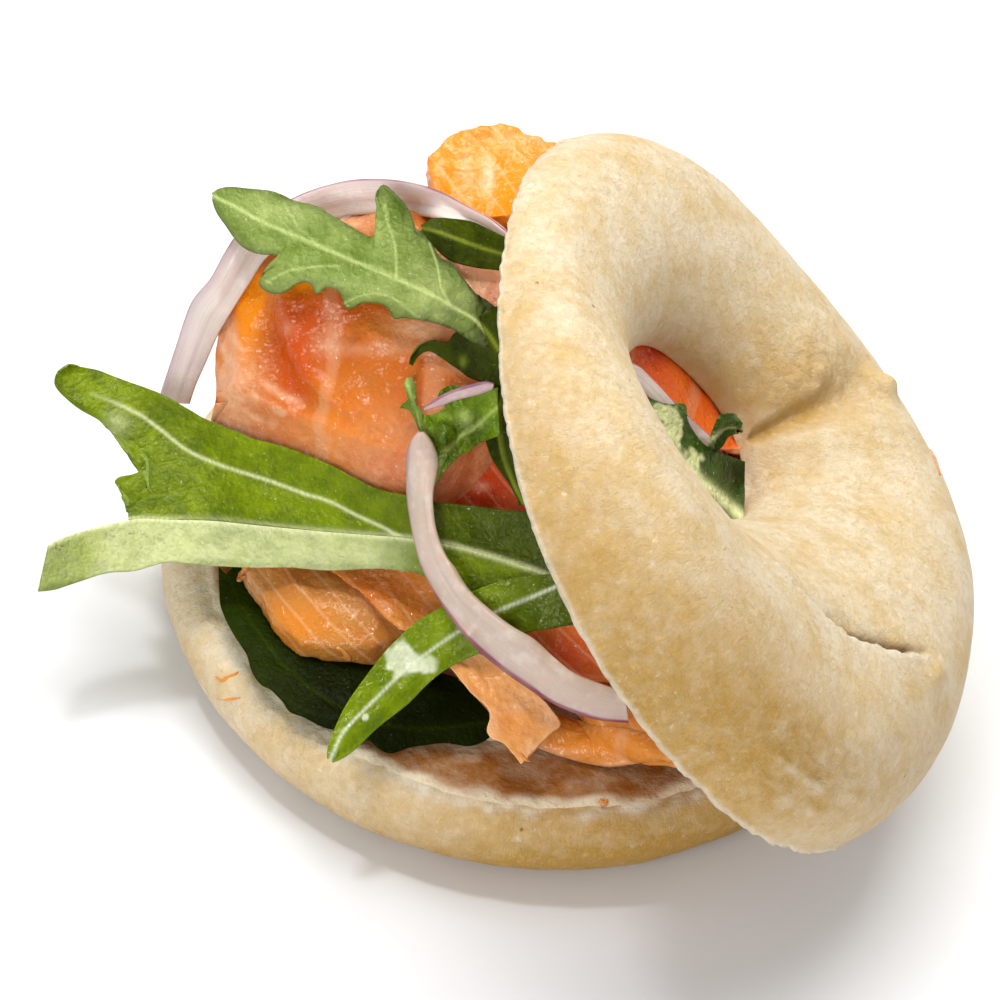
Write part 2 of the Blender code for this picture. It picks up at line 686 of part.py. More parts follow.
def build_front_leaf(material):
    leaf("leaf_front", [(-30.3, -49.3, 6.0), (-25.7, -43.0, 9.0), (-20.9, -37.5, 12.5), (-15.4, -32.9, 16.0),
                        (-9.9, -31.0, 19.5), (-1.6, -29.8, 24.0), (5.6, -29.5, 26.0)],
         ((-0.55, 0.70, 0.46), (0.4, 2.6, 4.8, 5.4, 4.4, 2.5, 2.0), []),
         ((0.35, -0.80, -0.48), (0.4, 2.2, 2.8, 3.6, 3.8, 3.0, 2.0), []), material, (16, 7), slant=0.0)


def build_dark_leaf(material):
    leaf("leaf_dark_under", [(-42, 4, 2.6), (-37.5, -12, 2.6), (-30.0, -25, 2.6), (-19.0, -32, 2.6),
                             (-3.0, -33.0, 2.6)],
         ((-0.80, -0.60, 0.0), (3.0, 8.5, 12.6, 12.0, 7.0), []),
         ((0.72, 0.70, 0.0), (3.0, 8.0, 9.0, 8.0, 3.0), []), material, (14, 6), slant=0.0)


def build_onion(materials):
    onion = materials["onion"]
    band("onion_large", [(-54.4, 15.8, 12.0), (-53.6, 17.7, 18.0), (-51.6, 19.0, 26.0),
                         (-48.2, 21.9, 34.0),
                         (-43.3, 25.4, 40.5), (-37.2, 27.5, 44.5), (-30.1, 27.3, 47.5), (-23.0, 24.9, 50.0),
                         (-17.0, 20.4, 52.0), (-12.2, 15.0, 53.0), (-8.4, 11.4, 52.0)],
         lambda u: 7.8 - 3.0 * u, onion, 22)


def build_front_onion(materials):
    band("onion_front", [(-20.6, -14.0, 35.0), (-20.4, -15.6, 31.0), (-19.3, -19.2, 27.0),
                         (-17.0, -24.7, 24.0),
                         (-12.8, -30.2, 21.0), (-6.5, -35.4, 18.0), (1.0, -39.4, 15.5), (8.8, -40.1, 13.5),
                         (15.7, -38.0, 11.5)],
         lambda u: 4.5, materials["onion"], 22)


def build_onion_bit(materials):
    """Short end of onion on the dark leaf beside the upper bun."""
    band("onion_bit", [(-20.6, -7.4, 37.6), (-17.8, -7.2, 39.6), (-14.3, -7.4, 41.2), (-11.4, -7.2, 42.6)],
         lambda u: 1.6 + 0.6 * u, materials["onion"], 7, 0.9)


def build_hole_filling(materials):
    """What shows inside the hole of the upper bun, lying against its cut face."""
    slope, across, normal = top_axes()

    def spot(a, b, h):
        return [c + a * s + b * t + h * n for c, s, t, n in zip(TOP_CENTRE, slope, across, normal)]

    def lay(name, low_edge, high_edge, rise, thick, material, size, roof):
        rows, columns = size
        points = []
        for i in range(rows):
            a = spline(low_edge, i / (rows - 1))
            b = spline(high_edge, i / (rows - 1))
            for j in range(columns):
                v = j / (columns - 1)
                points.append(spot(a[0] + (b[0] - a[0]) * v, a[1] + (b[1] - a[1]) * v, rise))
        return sheet(name, points, grid_faces(rows, columns), [thick] * len(points), material, roof)

    lay("salmon_hole", [(17.6, 10.0), (11.9, 10.5), (5.8, 11.5), (-0.1, 12.2), (-6.0, 12.6), (-12.2, 12.6)],
        [(17.6, 19.0), (12.9, 23.5), (7.0, 26.5), (-0.2, 27.0), (-6.0, 27.0), (-13.0, 26.0)],
        -3.2, 1.6, materials["salmon_red"], (9, 7), True)
    lay("onion_hole", [(19.0, 7.5), (13.7, 7.5), (8.4, 8.4), (1.8, 9.6), (-2.5, 10.4), (-6.8, 11.0)],
        [(18.4, 12.0), (13.7, 11.8), (8.4, 12.9), (1.8, 14.4), (-2.5, 14.9), (-6.8, 14.8)],
        -0.9, 0.9, materials["onion"], (9, 4), False)
    lay("leaf_hole", [(18.5, 2.5), (14.0, 0.5), (9.2, -1.2), (3.2, -2.0), (-2.7, -1.6), (-7.5, 0.6)],
        [(18.4, 7.0), (15.3, 7.4), (11.5, 8.7), (5.6, 12.6), (3.2, 11.8), (-0.8, 10.4), (-5.0, 11.1),
         (-9.4, 11.0)],
        0.6, LEAF_THICK, materials["leaf_green"], (14, 6), False)
    lay("leaf_curl", [(0.6, 9.6), (-1.2, 9.8), (-4.2, 10.2), (-7.4, 10.4)],
        [(0.2, 12.6), (-1.4, 16.4), (-4.6, 18.2), (-7.6, 16.6)],
        2.0, LEAF_THICK, materials["leaf_green"], (7, 5), False)


def centre_on_box():
    """Put the middle of everything over the origin, with the base at height zero."""
    low = [1e9, 1e9, 1e9]
    high = [-1e9, -1e9, -1e9]
    for item in bpy.data.objects:
        for vertex in item.data.vertices:
            for k in range(3):
                low[k] = min(low[k], vertex.co[k])
                high[k] = max(high[k], vertex.co[k])
    shift = [-(low[0] + high[0]) / 2, -(low[1] + high[1]) / 2, -low[2]]
    for item in bpy.data.objects:
        for vertex in item.data.vertices:
            for k in range(3):
                vertex.co[k] += shift[k]


def main():
    clear_scene()
    materials = {
        "crust": make_material("crust", (0.80, 0.62, 0.40), 0.6),
        "cream": make_material("cream", (0.92, 0.90, 0.84), 0.4),
        "salmon": make_material("salmon", (0.86, 0.33, 0.11), 0.35),
        "salmon_red": make_material("salmon_red", (0.70, 0.14, 0.05), 0.35),
        "salmon_pink": make_material("salmon_pink", (0.88, 0.45, 0.32), 0.35),
        "salmon_gold": make_material("salmon_gold", (0.93, 0.48, 0.14), 0.35),
        "onion": make_material("onion", (0.85, 0.76, 0.76), 0.3),
        "leaf_green": make_material("leaf_green", (0.13, 0.28, 0.04), 0.4),
        "leaf_dark": make_material("leaf_dark", (0.06, 0.16, 0.03), 0.4),
        "leaf_pale": make_material("leaf_pale", (0.32, 0.48, 0.20), 0.5),
    }
    build_lower_bun(materials["crust"])
    build_cream(materials["cream"])
    build_dark_leaf(materials["leaf_dark"])
    build_core(materials)
    build_left_leaf(materials["leaf_green"])
    build_salmon(materials)
    build_onion(materials)
    build_front_leaf(materials["leaf_green"])
    build_front_onion(materials)
    build_leaves(materials)
    build_onion_bit(materials)
    build_hole_filling(materials)
    build_upper_bun(materials["crust"])
    centre_on_box()


main()
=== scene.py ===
# Smoked salmon bagel with rocket, red onion and soft cheese, standing open.
# Shapes are given in millimetres from the middle of the lower half's cut face.
import math

import bpy
import numpy as np
from mathutils import Matrix, Vector, noise
from mathutils.bvhtree import BVHTree


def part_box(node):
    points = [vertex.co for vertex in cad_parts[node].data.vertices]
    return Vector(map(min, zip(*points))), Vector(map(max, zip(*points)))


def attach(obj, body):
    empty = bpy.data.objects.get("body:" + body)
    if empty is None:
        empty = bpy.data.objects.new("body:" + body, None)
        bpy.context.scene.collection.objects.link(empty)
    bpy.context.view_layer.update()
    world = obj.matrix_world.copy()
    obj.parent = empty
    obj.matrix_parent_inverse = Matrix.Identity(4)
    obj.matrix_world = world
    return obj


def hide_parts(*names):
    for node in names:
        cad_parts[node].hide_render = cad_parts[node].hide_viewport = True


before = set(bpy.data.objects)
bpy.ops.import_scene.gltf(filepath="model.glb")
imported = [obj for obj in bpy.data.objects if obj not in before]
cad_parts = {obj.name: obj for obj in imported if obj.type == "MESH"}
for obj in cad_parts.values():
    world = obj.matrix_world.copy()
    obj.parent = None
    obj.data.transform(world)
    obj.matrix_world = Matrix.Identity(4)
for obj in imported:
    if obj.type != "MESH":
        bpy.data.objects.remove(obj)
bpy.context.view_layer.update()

# The lower half of the bagel, cut face up. It is pale wheat dough, boiled and lightly baked, then cut
# through level: the crust is smooth and faintly streaked, the cut face soft crumb with a ragged edge.
MM = 0.001
AXIS = (4.88, 7.85)                      # where the lower half's axis stands in the frame
CUT_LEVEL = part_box("bottom_bun")[1].z / MM
LOWER_SIDE = [
    (50.3, 0.0), (52.8, -1.2), (54.5, -3.4), (55.0, -6.2), (54.0, -9.2), (51.6, -11.9), (48.8, -13.7),
    (46.5, -14.5),
]
LOWER_HOLE = [(17.0, -14.5), (12.5, -13.2), (9.0, -9.5), (9.0, -5.2), (10.5, -1.6), (13.0, 0.0)]
SIDE, BASE, HOLE, FACE = range(4)        # the stretches of this outline, from the rim down and round
FRONT = 5.05                             # radians round the axis to the side that faces the camera
CHEESE_SMEAR = (-10.0, -36.5)            # middle of a pale smear on the soaked crumb
CRUST_PALE = (0.89, 0.765, 0.57)
CRUST_GOLD = (0.76, 0.52, 0.20)
CRUST_TAN = (0.56, 0.315, 0.060)
CRUST_FIBRE = (0.93, 0.84, 0.64)
CRUST_FLAKE = (0.95, 0.88, 0.73)
CRUST_TORN = (0.93, 0.87, 0.73)
CRUST_GAP_SHADOW = (0.16, 0.06, 0.015)
CRUST_SPECK = (0.20, 0.09, 0.03)
CRUMB_PALE = (0.86, 0.76, 0.58)
CRUMB_DEEP = (0.36, 0.130, 0.020)


def curve(points, t):
    """Smooth curve through the points, t from 0 to 1."""
    count = len(points) - 1
    place = min(max(t, 0.0), 1.0) * count
    k = min(int(place), count - 1)
    f = place - k
    four = points[max(k - 1, 0)], points[k], points[k + 1], points[min(k + 2, count)]
    return [b + 0.5 * f * (c - a + (2 * a - 5 * b + 4 * c - d) * f + (3 * b - a - 3 * c + d) * f * f)
            for a, b, c, d in zip(*four)]


def lump(p, size, seed=0.0):
    """Smooth unevenness from -1 to 1 with bumps about this many millimetres apart."""
    return noise.noise(Vector((p[0] / size + seed, p[1] / size + 3.1 * seed, p[2] / size - 1.7 * seed)))


def near(x, middle, breadth):
    """1 at the middle, falling softly to nothing a breadth or two away."""
    return math.exp(-((x - middle) / breadth) ** 2)


def ramp(x, start, end):
    """0 before the start, 1 beyond the end, with a smooth rise between."""
    t = min(max((x - start) / (end - start), 0.0), 1.0)
    return t * t * (3 - 2 * t)


def note(marks, **values):
    """Adds one point's value to the list of each mark."""
    for mark, value in values.items():
        marks.setdefault(mark, []).append(value)


def ring_faces(rows, columns):
    """Four-sided faces of a grid that closes on itself along both its rows and its columns."""
    i, j = np.meshgrid(np.arange(rows), np.arange(columns), indexing="ij")
    below, beside = (i + 1) % rows, (j + 1) % columns
    quads = [i * columns + j, i * columns + beside, below * columns + beside, below * columns + j]
    return np.stack(quads, axis=-1).reshape(-1, 4).tolist()


def make_piece(name, points, faces, paints, marks=None, which=None):
    """Mesh piece from millimetre points, with a value for each point under each mark's name."""
    mesh = bpy.data.meshes.new(name)
    placed = [((x + AXIS[0]) * MM, (y + AXIS[1]) * MM, (z + CUT_LEVEL) * MM) for x, y, z in points]
    mesh.from_pydata(placed, [], faces)
    for paint in paints:
        mesh.materials.append(paint.material)
    mesh.polygons.foreach_set("use_smooth", [True] * len(mesh.polygons))
    if which is not None:
        mesh.polygons.foreach_set("material_index", which)
    for mark, values in (marks or {}).items():
        layer = mesh.attributes.new(mark, "FLOAT", "POINT")
        layer.data.foreach_set("value", values)
    mesh.update()
    piece = bpy.data.objects.new(name, mesh)
    bpy.context.scene.collection.objects.link(piece)
    return piece


class Paint:
    """One finish: a material and short calls for the nodes that make it up. Sizes are in millimetres."""

    def __init__(self, name, **sockets):
        self.material = bpy.data.materials.new(name)
        self.material.use_nodes = True
        self.tree = self.material.node_tree
        self.shader = self.tree.nodes["Principled BSDF"]
        for socket, value in sockets.items():
            self.shader.inputs[socket.replace("_", " ")].default_value = value
        self.spot = self.add("ShaderNodeTexCoord").outputs["Object"]
        self.height = None

    def add(self, kind, inputs=(), **settings):
        node = self.tree.nodes.new(kind)
        for key, value in settings.items():
            setattr(node, key, value)
        for key, value in dict(inputs).items():
            if isinstance(value, bpy.types.NodeSocket):
                self.tree.links.new(value, node.inputs[key])
            elif value is not None:
                node.inputs[key].default_value = value
        return node

    def mark(self, name):
        """The value that the mesh carries under this name."""
        return self.add("ShaderNodeAttribute", attribute_name=name).outputs["Fac"]

    def grain(self, size, detail=3.0, rough=0.55, where=None, warp=0.0):
        """Cloudy unevenness from 0 to 1."""
        inputs = {"Vector": where or self.spot, "Scale": 1 / (size * MM) if where is None else 1 / size,
                  "Detail": detail, "Roughness": rough, "Distortion": warp}
        return self.add("ShaderNodeTexNoise", inputs).outputs["Fac"]

    def cells(self, size, feature="F1"):
        """Distance from the middles, or the edges, of cells of this size."""
        inputs = {"Vector": self.spot, "Scale": 1 / (size * MM)}
        return self.add("ShaderNodeTexVoronoi", inputs, feature=feature).outputs["Distance"]

    def sheet_spot(self, u_length, v_length):
        """A place on the sheet from its marks u and v, which run from 0 to 1, stretched to these lengths."""
        parts = {"X": self.times(self.mark("u"), u_length), "Y": self.times(self.mark("v"), v_length)}
        return self.add("ShaderNodeCombineXYZ", parts).outputs["Vector"]

    def reckon(self, way, a, b=None):
        return self.add("ShaderNodeMath", {0: a, 1: b}, operation=way).outputs[0]

    def times(self, a, b):
        return self.reckon("MULTIPLY", a, b)

    def between(self, value, low, high, to_low=0.0, to_high=1.0):
        """Smooth step from to_low at low to to_high at high."""
        inputs = {"Value": value, "From Min": low, "From Max": high, "To Min": to_low, "To Max": to_high}
        node = self.add("ShaderNodeMapRange", inputs, interpolation_type="SMOOTHSTEP")
        return node.outputs["Result"]

    def mix(self, share, a, b):
        """Colour a where share is 0, b where it is 1."""
        full = {key: (*value, 1.0) if isinstance(value, tuple) else value for key, value in ((6, a), (7, b))}
        return self.add("ShaderNodeMix", {0: share, **full}, data_type="RGBA").outputs[2]

    def colour(self, link, socket="Base Color"):
        self.tree.links.new(link, self.shader.inputs[socket])

    def bump(self, height, depth):
        """Fine relief this many millimetres deep."""
        inputs = {"Height": height, "Distance": depth * MM, "Strength": 1.0}
        if self.height is not None:
            inputs["Normal"] = self.height
        self.height = self.add("ShaderNodeBump", inputs).outputs["Normal"]
        for socket in ("Normal", "Coat Normal"):
            self.tree.links.new(self.height, self.shader.inputs[socket])


def crust_paint(name):
    """Pale boiled crust: golden mottling, fine fibres along the skin, tan for toasting and painted shade."""
    paint = Paint(name, Roughness=0.52, Specular_IOR_Level=0.3, Specular_Tint=(1.0, 0.94, 0.8, 1.0))
    cloud = paint.between(paint.grain(7.0, 6.0, 0.65), 0.36, 0.70)
    freckle = paint.between(paint.grain(0.9, 4.0, 0.7), 0.50, 0.70)
    skin = paint.mix(paint.times(cloud, 0.7), CRUST_PALE, CRUST_GOLD)
    skin = paint.mix(paint.times(freckle, 0.5), skin, CRUST_GOLD)
    patchy = paint.between(paint.grain(3.0, 5.0, 0.65), 0.2, 0.7, 0.55, 1.0)
    # Tan where the toast-and-shade mark says: toasting in part, painted shade in part.
    skin = paint.mix(paint.times(paint.mark("toast"), patchy), skin, CRUST_TAN)
    fibre = paint.grain(1.0, 4.0, 0.65, paint.sheet_spot(420.0, 26.0))
    skin = paint.mix(paint.between(fibre, 0.5, 0.8, 0.0, 0.2), skin, CRUST_FIBRE)
    flakes = paint.grain(1.5, 7.0, 0.78, warp=0.6)
    skin = paint.mix(paint.between(flakes, 0.53, 0.66, 0.0, 0.6), skin, CRUST_GOLD)
    skin = paint.mix(paint.between(flakes, 0.42, 0.30, 0.0, 0.5), skin, CRUST_FLAKE)
    fold = paint.reckon("ABSOLUTE", paint.reckon("SUBTRACT", paint.grain(2.6, 6.0, 0.68), 0.5))
    where_dry = paint.between(paint.grain(9.0, 2.0), 0.42, 0.62)
    cracked = paint.times(paint.between(fold, 0.0, 0.035, 1.0, 0.0), where_dry)
    skin = paint.mix(paint.times(cracked, 0.16), skin, CRUST_GOLD)
    skin = paint.mix(paint.mark("torn"), skin, CRUST_TORN)
    # Painted shadow in the open gap under the torn lip.
    skin = paint.mix(paint.mark("gap"), skin, CRUST_GAP_SHADOW)
    speck = paint.between(paint.cells(6.0), 0.04, 0.07, 0.75, 0.0)
    few = paint.between(paint.grain(17.0, 1.0), 0.56, 0.6)
    skin = paint.mix(paint.times(speck, few), skin, CRUST_SPECK)
    paint.colour(skin)
    paint.colour(paint.between(paint.grain(2.2, 4.0), 0.3, 0.7, 0.42, 0.62), "Roughness")
    paint.bump(fibre, 0.12)
    paint.bump(flakes, 0.5)
    paint.bump(cracked, -0.03)
    paint.bump(paint.grain(0.6, 3.0, 0.7), 0.12)
    folds = paint.grain(1.0, 4.0, 0.6, paint.sheet_spot(60.0, 34.0))
    paint.bump(paint.times(paint.mark("wrinkle"), folds), 0.9)
    return paint


def crumb_paint(name):
    """Soft cut crumb with small holes, darker where juices have soaked in and with painted shade under the
    filling.
    """
    paint = Paint(name, Roughness=0.85, Specular_IOR_Level=0.2)
    holes = paint.between(paint.cells(1.3), 0.10, 0.5)
    soaked = paint.between(paint.grain(4.0, 5.0, 0.6), 0.25, 0.65, 0.62, 1.0)
    tone = paint.mix(paint.times(soaked, paint.mark("soaked")), CRUMB_PALE, CRUMB_DEEP)
    # Painted shade in the middle of each hole.
    tone = paint.mix(paint.between(holes, 0.0, 1.0, 0.12, 0.0), tone, CRUMB_DEEP)
    paint.colour(tone)
    paint.bump(holes, 0.08)
    paint.bump(paint.grain(0.7, 5.0, 0.65), 0.4)
    return paint


def lower_edge(angle):
    """Unroundness of the lower half: its radius at this angle as a share of the mean one."""
    return (0.993 - 0.006 * math.cos(angle) + 0.030 * math.sin(angle)
            - 0.007 * math.cos(2 * angle) - 0.010 * math.sin(2 * angle)
            + 0.010 * math.cos(3 * angle) + 0.007 * math.sin(3 * angle))


def build_lower_half():
    turns = 440
    side_steps, base_steps, hole_steps, face_steps = 34, 12, 18, 92
    rim, hole_rim = LOWER_SIDE[0][0], LOWER_HOLE[-1][0]
    foot, bottom = LOWER_SIDE[-1]
    side = [(*curve(LOWER_SIDE, k / side_steps), SIDE) for k in range(side_steps + 1)]
    base = [(foot - (foot - LOWER_HOLE[0][0]) * k / base_steps, bottom, BASE) for k in range(1, base_steps)]
    hole = [(*curve(LOWER_HOLE, k / hole_steps), HOLE) for k in range(hole_steps + 1)]
    face = [(hole_rim + (rim - hole_rim) * k / face_steps, 0.0, FACE) for k in range(1, face_steps)]
    profile = side + base + hole + face
    points, marks = [], {}
    for i, (r, z, stretch) in enumerate(profile):
        for j in range(turns):
            a = 2 * math.pi * j / turns
            s = lower_edge(a)
            x, y = r * s * math.cos(a), r * s * math.sin(a)
            p = (x, y, z)
            out, drop = 0.0, 0.0
            if stretch == SIDE:
                out = ramp(z, bottom, bottom + 2.0) * (0.40 * lump(p, 13) + 0.16 * lump(p, 4.5))
            if stretch in (SIDE, FACE):
                edge = near(math.hypot(r - rim, z), 0.0, 1.3)
                out += edge * (0.35 * lump(p, 1.9) + 0.45 * lump(p, 4.2, 5.0))
                drop += edge * (0.5 + 0.4 * lump(p, 2.6, 2.0))
            if stretch == FACE:
                pore = max(0.0, lump(p, 1.5, 7.0) - 0.1) + 0.7 * max(0.0, lump(p, 3.4, 9.0) - 0.2)
                drop += (0.25 * pore + 0.3 * (1 + lump(p, 12))) * (1 - ramp(r, 46.0, rim))
            k = (r * s + out) / (r * s)
            points.append((x * k, y * k, max(z - drop, bottom)))
            # Painted shade on the front side and towards the bottom, with some real toasting.
            front = near(a, FRONT, 0.75)
            toast = front + 0.75 * ramp(-z, 1.5, 12.0) * (0.06 + 0.94 * front)
            from_smear = math.hypot((x - CHEESE_SMEAR[0]) / 9.0, (y - CHEESE_SMEAR[1]) / 1.5)
            smear = near(from_smear, 0.0, 1.0) * (0.7 + 0.6 * lump(p, 2.0))
            # Darker inward from the rim: juice soaked in, and painted shade under the filling.
            juice_and_shade = 1 - ramp(r + 1.6 * lump(p, 4.0, 8.0), 47.4, 50.0)
            torn = near(math.hypot(r - 51.0, z + 0.6), 0.0, 1.3) * (0.45 + 1.2 * lump(p, 2.4))
            note(marks, toast=0.0 if stretch == FACE else toast, torn=min(1.0, max(0.0, torn)), wrinkle=0.12,
                 soaked=juice_and_shade * (1 - min(max(smear, 0.0), 0.8)), gap=0.0, u=abs(2 * j / turns - 1),
                 v=i / len(profile))
    faces = [tuple(reversed(f)) for f in ring_faces(len(profile), turns)]
    crumb_from = len(profile) - len(face) - 1
    which = [int(i >= crumb_from) for i in range(len(profile)) for _ in range(turns)]
    return make_piece("lower_half", points, faces, [crust_paint("crust_lower"), crumb_paint("crumb_lower")],
                      marks, which)


lower_half = build_lower_half()
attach(lower_half, "root")
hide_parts("bottom_bun")

# Soft cheese spread on the lower half's cut face with a knife. It is white, stained in patches by the
# salmon's juices, and stops short of the rim at the front.
CREAM_WHITE = (0.87, 0.84, 0.76)
CREAM_PINK = (0.60, 0.34, 0.20)
CREAM_HOLE = 16.0
CREAM_EDGE = 40.4


def cream_paint():
    paint = Paint("soft_cheese", Roughness=0.45, Subsurface_Weight=0.2, Subsurface_Scale=0.002,
                  Coat_Weight=0.15)
    stain = paint.between(paint.grain(6.0, 4.0, 0.6), 0.35, 0.7, 0.25, 1.0)
    paint.colour(paint.mix(stain, CREAM_WHITE, CREAM_PINK))
    paint.bump(paint.grain(1.4, 4.0, 0.6), 0.4)
    paint.bump(paint.grain(0.4, 3.0), 0.12)
    return paint


def build_cream():
    """A flat ring: rows of the top from the hole out, then rows of the under side back again."""
    turns, rings, round_share = 300, 50, 0.07
    top, under = [], []
    for i in range(rings + 1):
        share = i / rings
        beyond = max(0.0, share - (1 - round_share))
        round_off = math.sqrt(max(0.0, 1 - beyond ** 2 / round_share ** 2))
        top.append([])
        under.append([])
        for j in range(turns):
            a = 2 * math.pi * j / turns
            edge = CREAM_EDGE + math.sin(3 * a + 0.4) + 0.8 * math.sin(7 * a) - 6.5 * near(a, 5.0, 0.75)
            p = (edge * math.cos(a), edge * math.sin(a), 0)
            edge += 0.9 * lump(p, 3.5) + 0.5 * lump(p, 1.5)
            r = CREAM_HOLE + (edge - CREAM_HOLE) * share
            x, y = r * math.cos(a), r * math.sin(a)
            rise = 1.5 + 0.5 * lump((x, y, 0), 7) + 0.25 * lump((x, y, 0), 2.5)
            top[-1].append((x, y, 0.3 + rise * max(round_off, 0.05)))
            under[-1].append((x, y, 0.2))
    rows = top + under[::-1]
    faces = [tuple(reversed(f)) for f in ring_faces(len(rows), turns)]
    return make_piece("cream", [p for row in rows for p in row], faces, [cream_paint()])


cream = build_cream()
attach(cream, "root")
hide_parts("cream_cheese")

# A large dark rocket leaf, laid over the cheese. It is dull, painted nearly black for the shade under the
# heap, and its wavy edge hangs a little over the lower half's rim at the left.
PIXELS_PER_MM = 6.77                     # scale of the photograph
AXIS_PIXEL = (529.0, 570.0)              # where the middle of the lower half's cut face shows in it
VIEW_RIGHT = Vector((0.991, 0.0, 0.134)).normalized()
VIEW_BACK = VIEW_RIGHT.cross(Vector((-0.0953, 0.7023, 0.705))).normalized()
VIEW_UP = VIEW_BACK.cross(VIEW_RIGHT)
DARK_LEAF_RIB = [(226, 575), (262, 640), (312, 690), (372, 722), (430, 728), (492, 722)]
DARK_LEAF_OUTER = [
    (219, 566), (220, 590), (222, 608), (231, 628), (241, 644), (248, 655), (254, 673), (262, 684),
    (272, 689), (283, 700), (291, 711), (304, 716), (324, 726), (345, 731), (366, 737), (380, 748),
    (392, 752), (407, 747), (425, 744), (446, 742), (468, 745), (482, 741), (494, 732),
]
DARK_LEAF_INNER = [(240, 560), (262, 585), (296, 616), (340, 642), (386, 660), (440, 672), (490, 690)]


def view_point(px, py, out):
    """The point that shows at a pixel of the photograph, out millimetres towards the camera."""
    right, up = (px - AXIS_PIXEL[0]) / PIXELS_PER_MM, (AXIS_PIXEL[1] - py) / PIXELS_PER_MM
    return VIEW_RIGHT * right + VIEW_UP * up + VIEW_BACK * out


def view_pixel(p):
    p = Vector(p)
    return (AXIS_PIXEL[0] + PIXELS_PER_MM * p.dot(VIEW_RIGHT), AXIS_PIXEL[1] - PIXELS_PER_MM * p.dot(VIEW_UP))


def view_pixels(body):
    """Where each point of a grid shows in the photograph."""
    return np.array([[view_pixel(p) for p in row] for row in body])


def plan_point(x, y, out):
    return Vector((x, y, out))


def from_frame(co):
    """A place in the fixed frame, in millimetres from the middle of the cut face."""
    return co.x / MM - AXIS[0], co.y / MM - AXIS[1], co.z / MM - CUT_LEVEL


def node_surface(node):
    """A fixed node's faces, to lay a sheet on."""
    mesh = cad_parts[node].data
    faces = [tuple(f.vertices) for f in mesh.polygons]
    return BVHTree.FromPolygons([from_frame(v.co) for v in mesh.vertices], faces)


def picked(line, place, at=None):
    """Spots of a line at these places; at says where its points lie, or else they are even from 0 to 1."""
    at = np.linspace(0, 1, len(line)) if at is None else at
    return np.stack([np.interp(place, at, line[:, k]) for k in range(line.shape[1])], axis=1)


def traced(points, count=500):
    """Spots evenly spaced along the smooth curve through the points."""
    steps = 24 * len(points)
    fine = np.array([curve(points, k / steps) for k in range(steps + 1)])
    far = np.concatenate([[0.0], np.cumsum(np.linalg.norm(np.diff(fine, axis=0), axis=1))])
    return picked(fine, np.linspace(0, far[-1], count), far)


def as_plan(spots, u, v):
    """A grid of spots with each one's share along, u, and across, v."""
    return spots, np.repeat(u[:, None], len(v), 1), np.repeat(v[None, :], len(u), 0)


def strip_plan(edge_a, edge_b, rows, columns):
    """Grid of spots from one edge to the other; u runs along, v across from 0 to 1."""
    v = np.linspace(0, 1, columns)
    a, b = traced(edge_a, rows), traced(edge_b, rows)
    spots = a[:, None, :] * (1 - v[None, :, None]) + b[:, None, :] * v[None, :, None]
    return as_plan(spots, np.linspace(0, 1, rows), v)


def leaf_plan(rib, upper, lower, rows, columns):
    """Grid of spots over a leaf; v runs from -1 at the lower edge through the rib to 1 at the upper edge."""
    middle = traced(rib)
    share = np.linspace(0, 1, len(middle))
    u = np.linspace(0, 1, rows)
    v = np.linspace(-1, 1, columns)
    spots = picked(middle, u)[:, None, :] * (1 - np.abs(v))[None, :, None]
    for edge, part in ((lower, np.maximum(-v, 0)), (upper, np.maximum(v, 0))):
        side = traced(edge)
        gaps = np.linalg.norm(side[:, None, :] - middle[None, :, :], axis=2)
        along = np.maximum.accumulate(gaps.argmin(axis=1) / (len(middle) - 1))
        along = 0.7 * along + 0.3 * share
        along = (along - along[0]) / (along[-1] - along[0])
        spots = spots + picked(side, u, along)[:, None, :] * part[None, :, None]
    return as_plan(spots, u, v)


def spread(values):
    """Each value replaced by the mean of itself and its four neighbours."""
    wide = np.pad(values, 1, mode="edge")
    return (wide[1:-1, 1:-1] * 2 + wide[:-2, 1:-1] + wide[2:, 1:-1] + wide[1:-1, :-2] + wide[1:-1, 2:]) / 6


def laid_depth(node, spots, point, back, smooth):
    """How far out a node's near face lies at each spot; beyond its rim the face carries on level."""
    tree = node_surface(node)
    depth = np.full(spots.shape[:2], np.nan)
    for i in range(spots.shape[0]):
        for j in range(spots.shape[1]):
            hit = tree.ray_cast(point(*spots[i, j], 200.0), -back)[0]
            if hit is not None:
                depth[i, j] = hit.dot(back)
    if np.isnan(depth).all():
        depth[:] = np.mean([tree.find_nearest(point(*spots[0, 0], 0.0))[0].dot(back),
                            tree.find_nearest(point(*spots[-1, -1], 60.0))[0].dot(back)])
    while np.isnan(depth).any():
        wide = np.pad(depth, 1, constant_values=np.nan)
        ring = np.stack([wide[:-2, 1:-1], wide[2:, 1:-1], wide[1:-1, :-2], wide[1:-1, 2:]])
        known = ~np.isnan(ring)
        mean = np.where(known.any(axis=0), np.nansum(ring, axis=0) / np.maximum(known.sum(axis=0), 1), np.nan)
        depth = np.where(np.isnan(depth), mean, depth)
    for _ in range(smooth):
        depth = spread(depth)
    return depth


def clouds(places, size, seed=0.0):
    """Smooth unevenness at each place."""
    flat = places.reshape(-1, 3)
    return np.array([lump(p, size, seed) for p in flat]).reshape(places.shape[:2])


def line_mark(spots, line, breadth):
    """1 on a line of pixels, falling to nothing about a breadth away."""
    path = traced(line, 120)
    best = np.full(spots.shape[:2], 1e9)
    for a in path:
        best = np.minimum(best, np.linalg.norm(spots - a, axis=2))
    return np.exp(-(best / breadth) ** 2)


def spot_mark(spots, blots):
    """Soft blots; each has its middle, its two breadths and its strength."""
    total = np.zeros(spots.shape[:2])
    for x, y, wide, high, strength in blots:
        total += strength * np.exp(-((spots[..., 0] - x) / wide) ** 2 - ((spots[..., 1] - y) / high) ** 2)
    return np.clip(total, 0, 1)


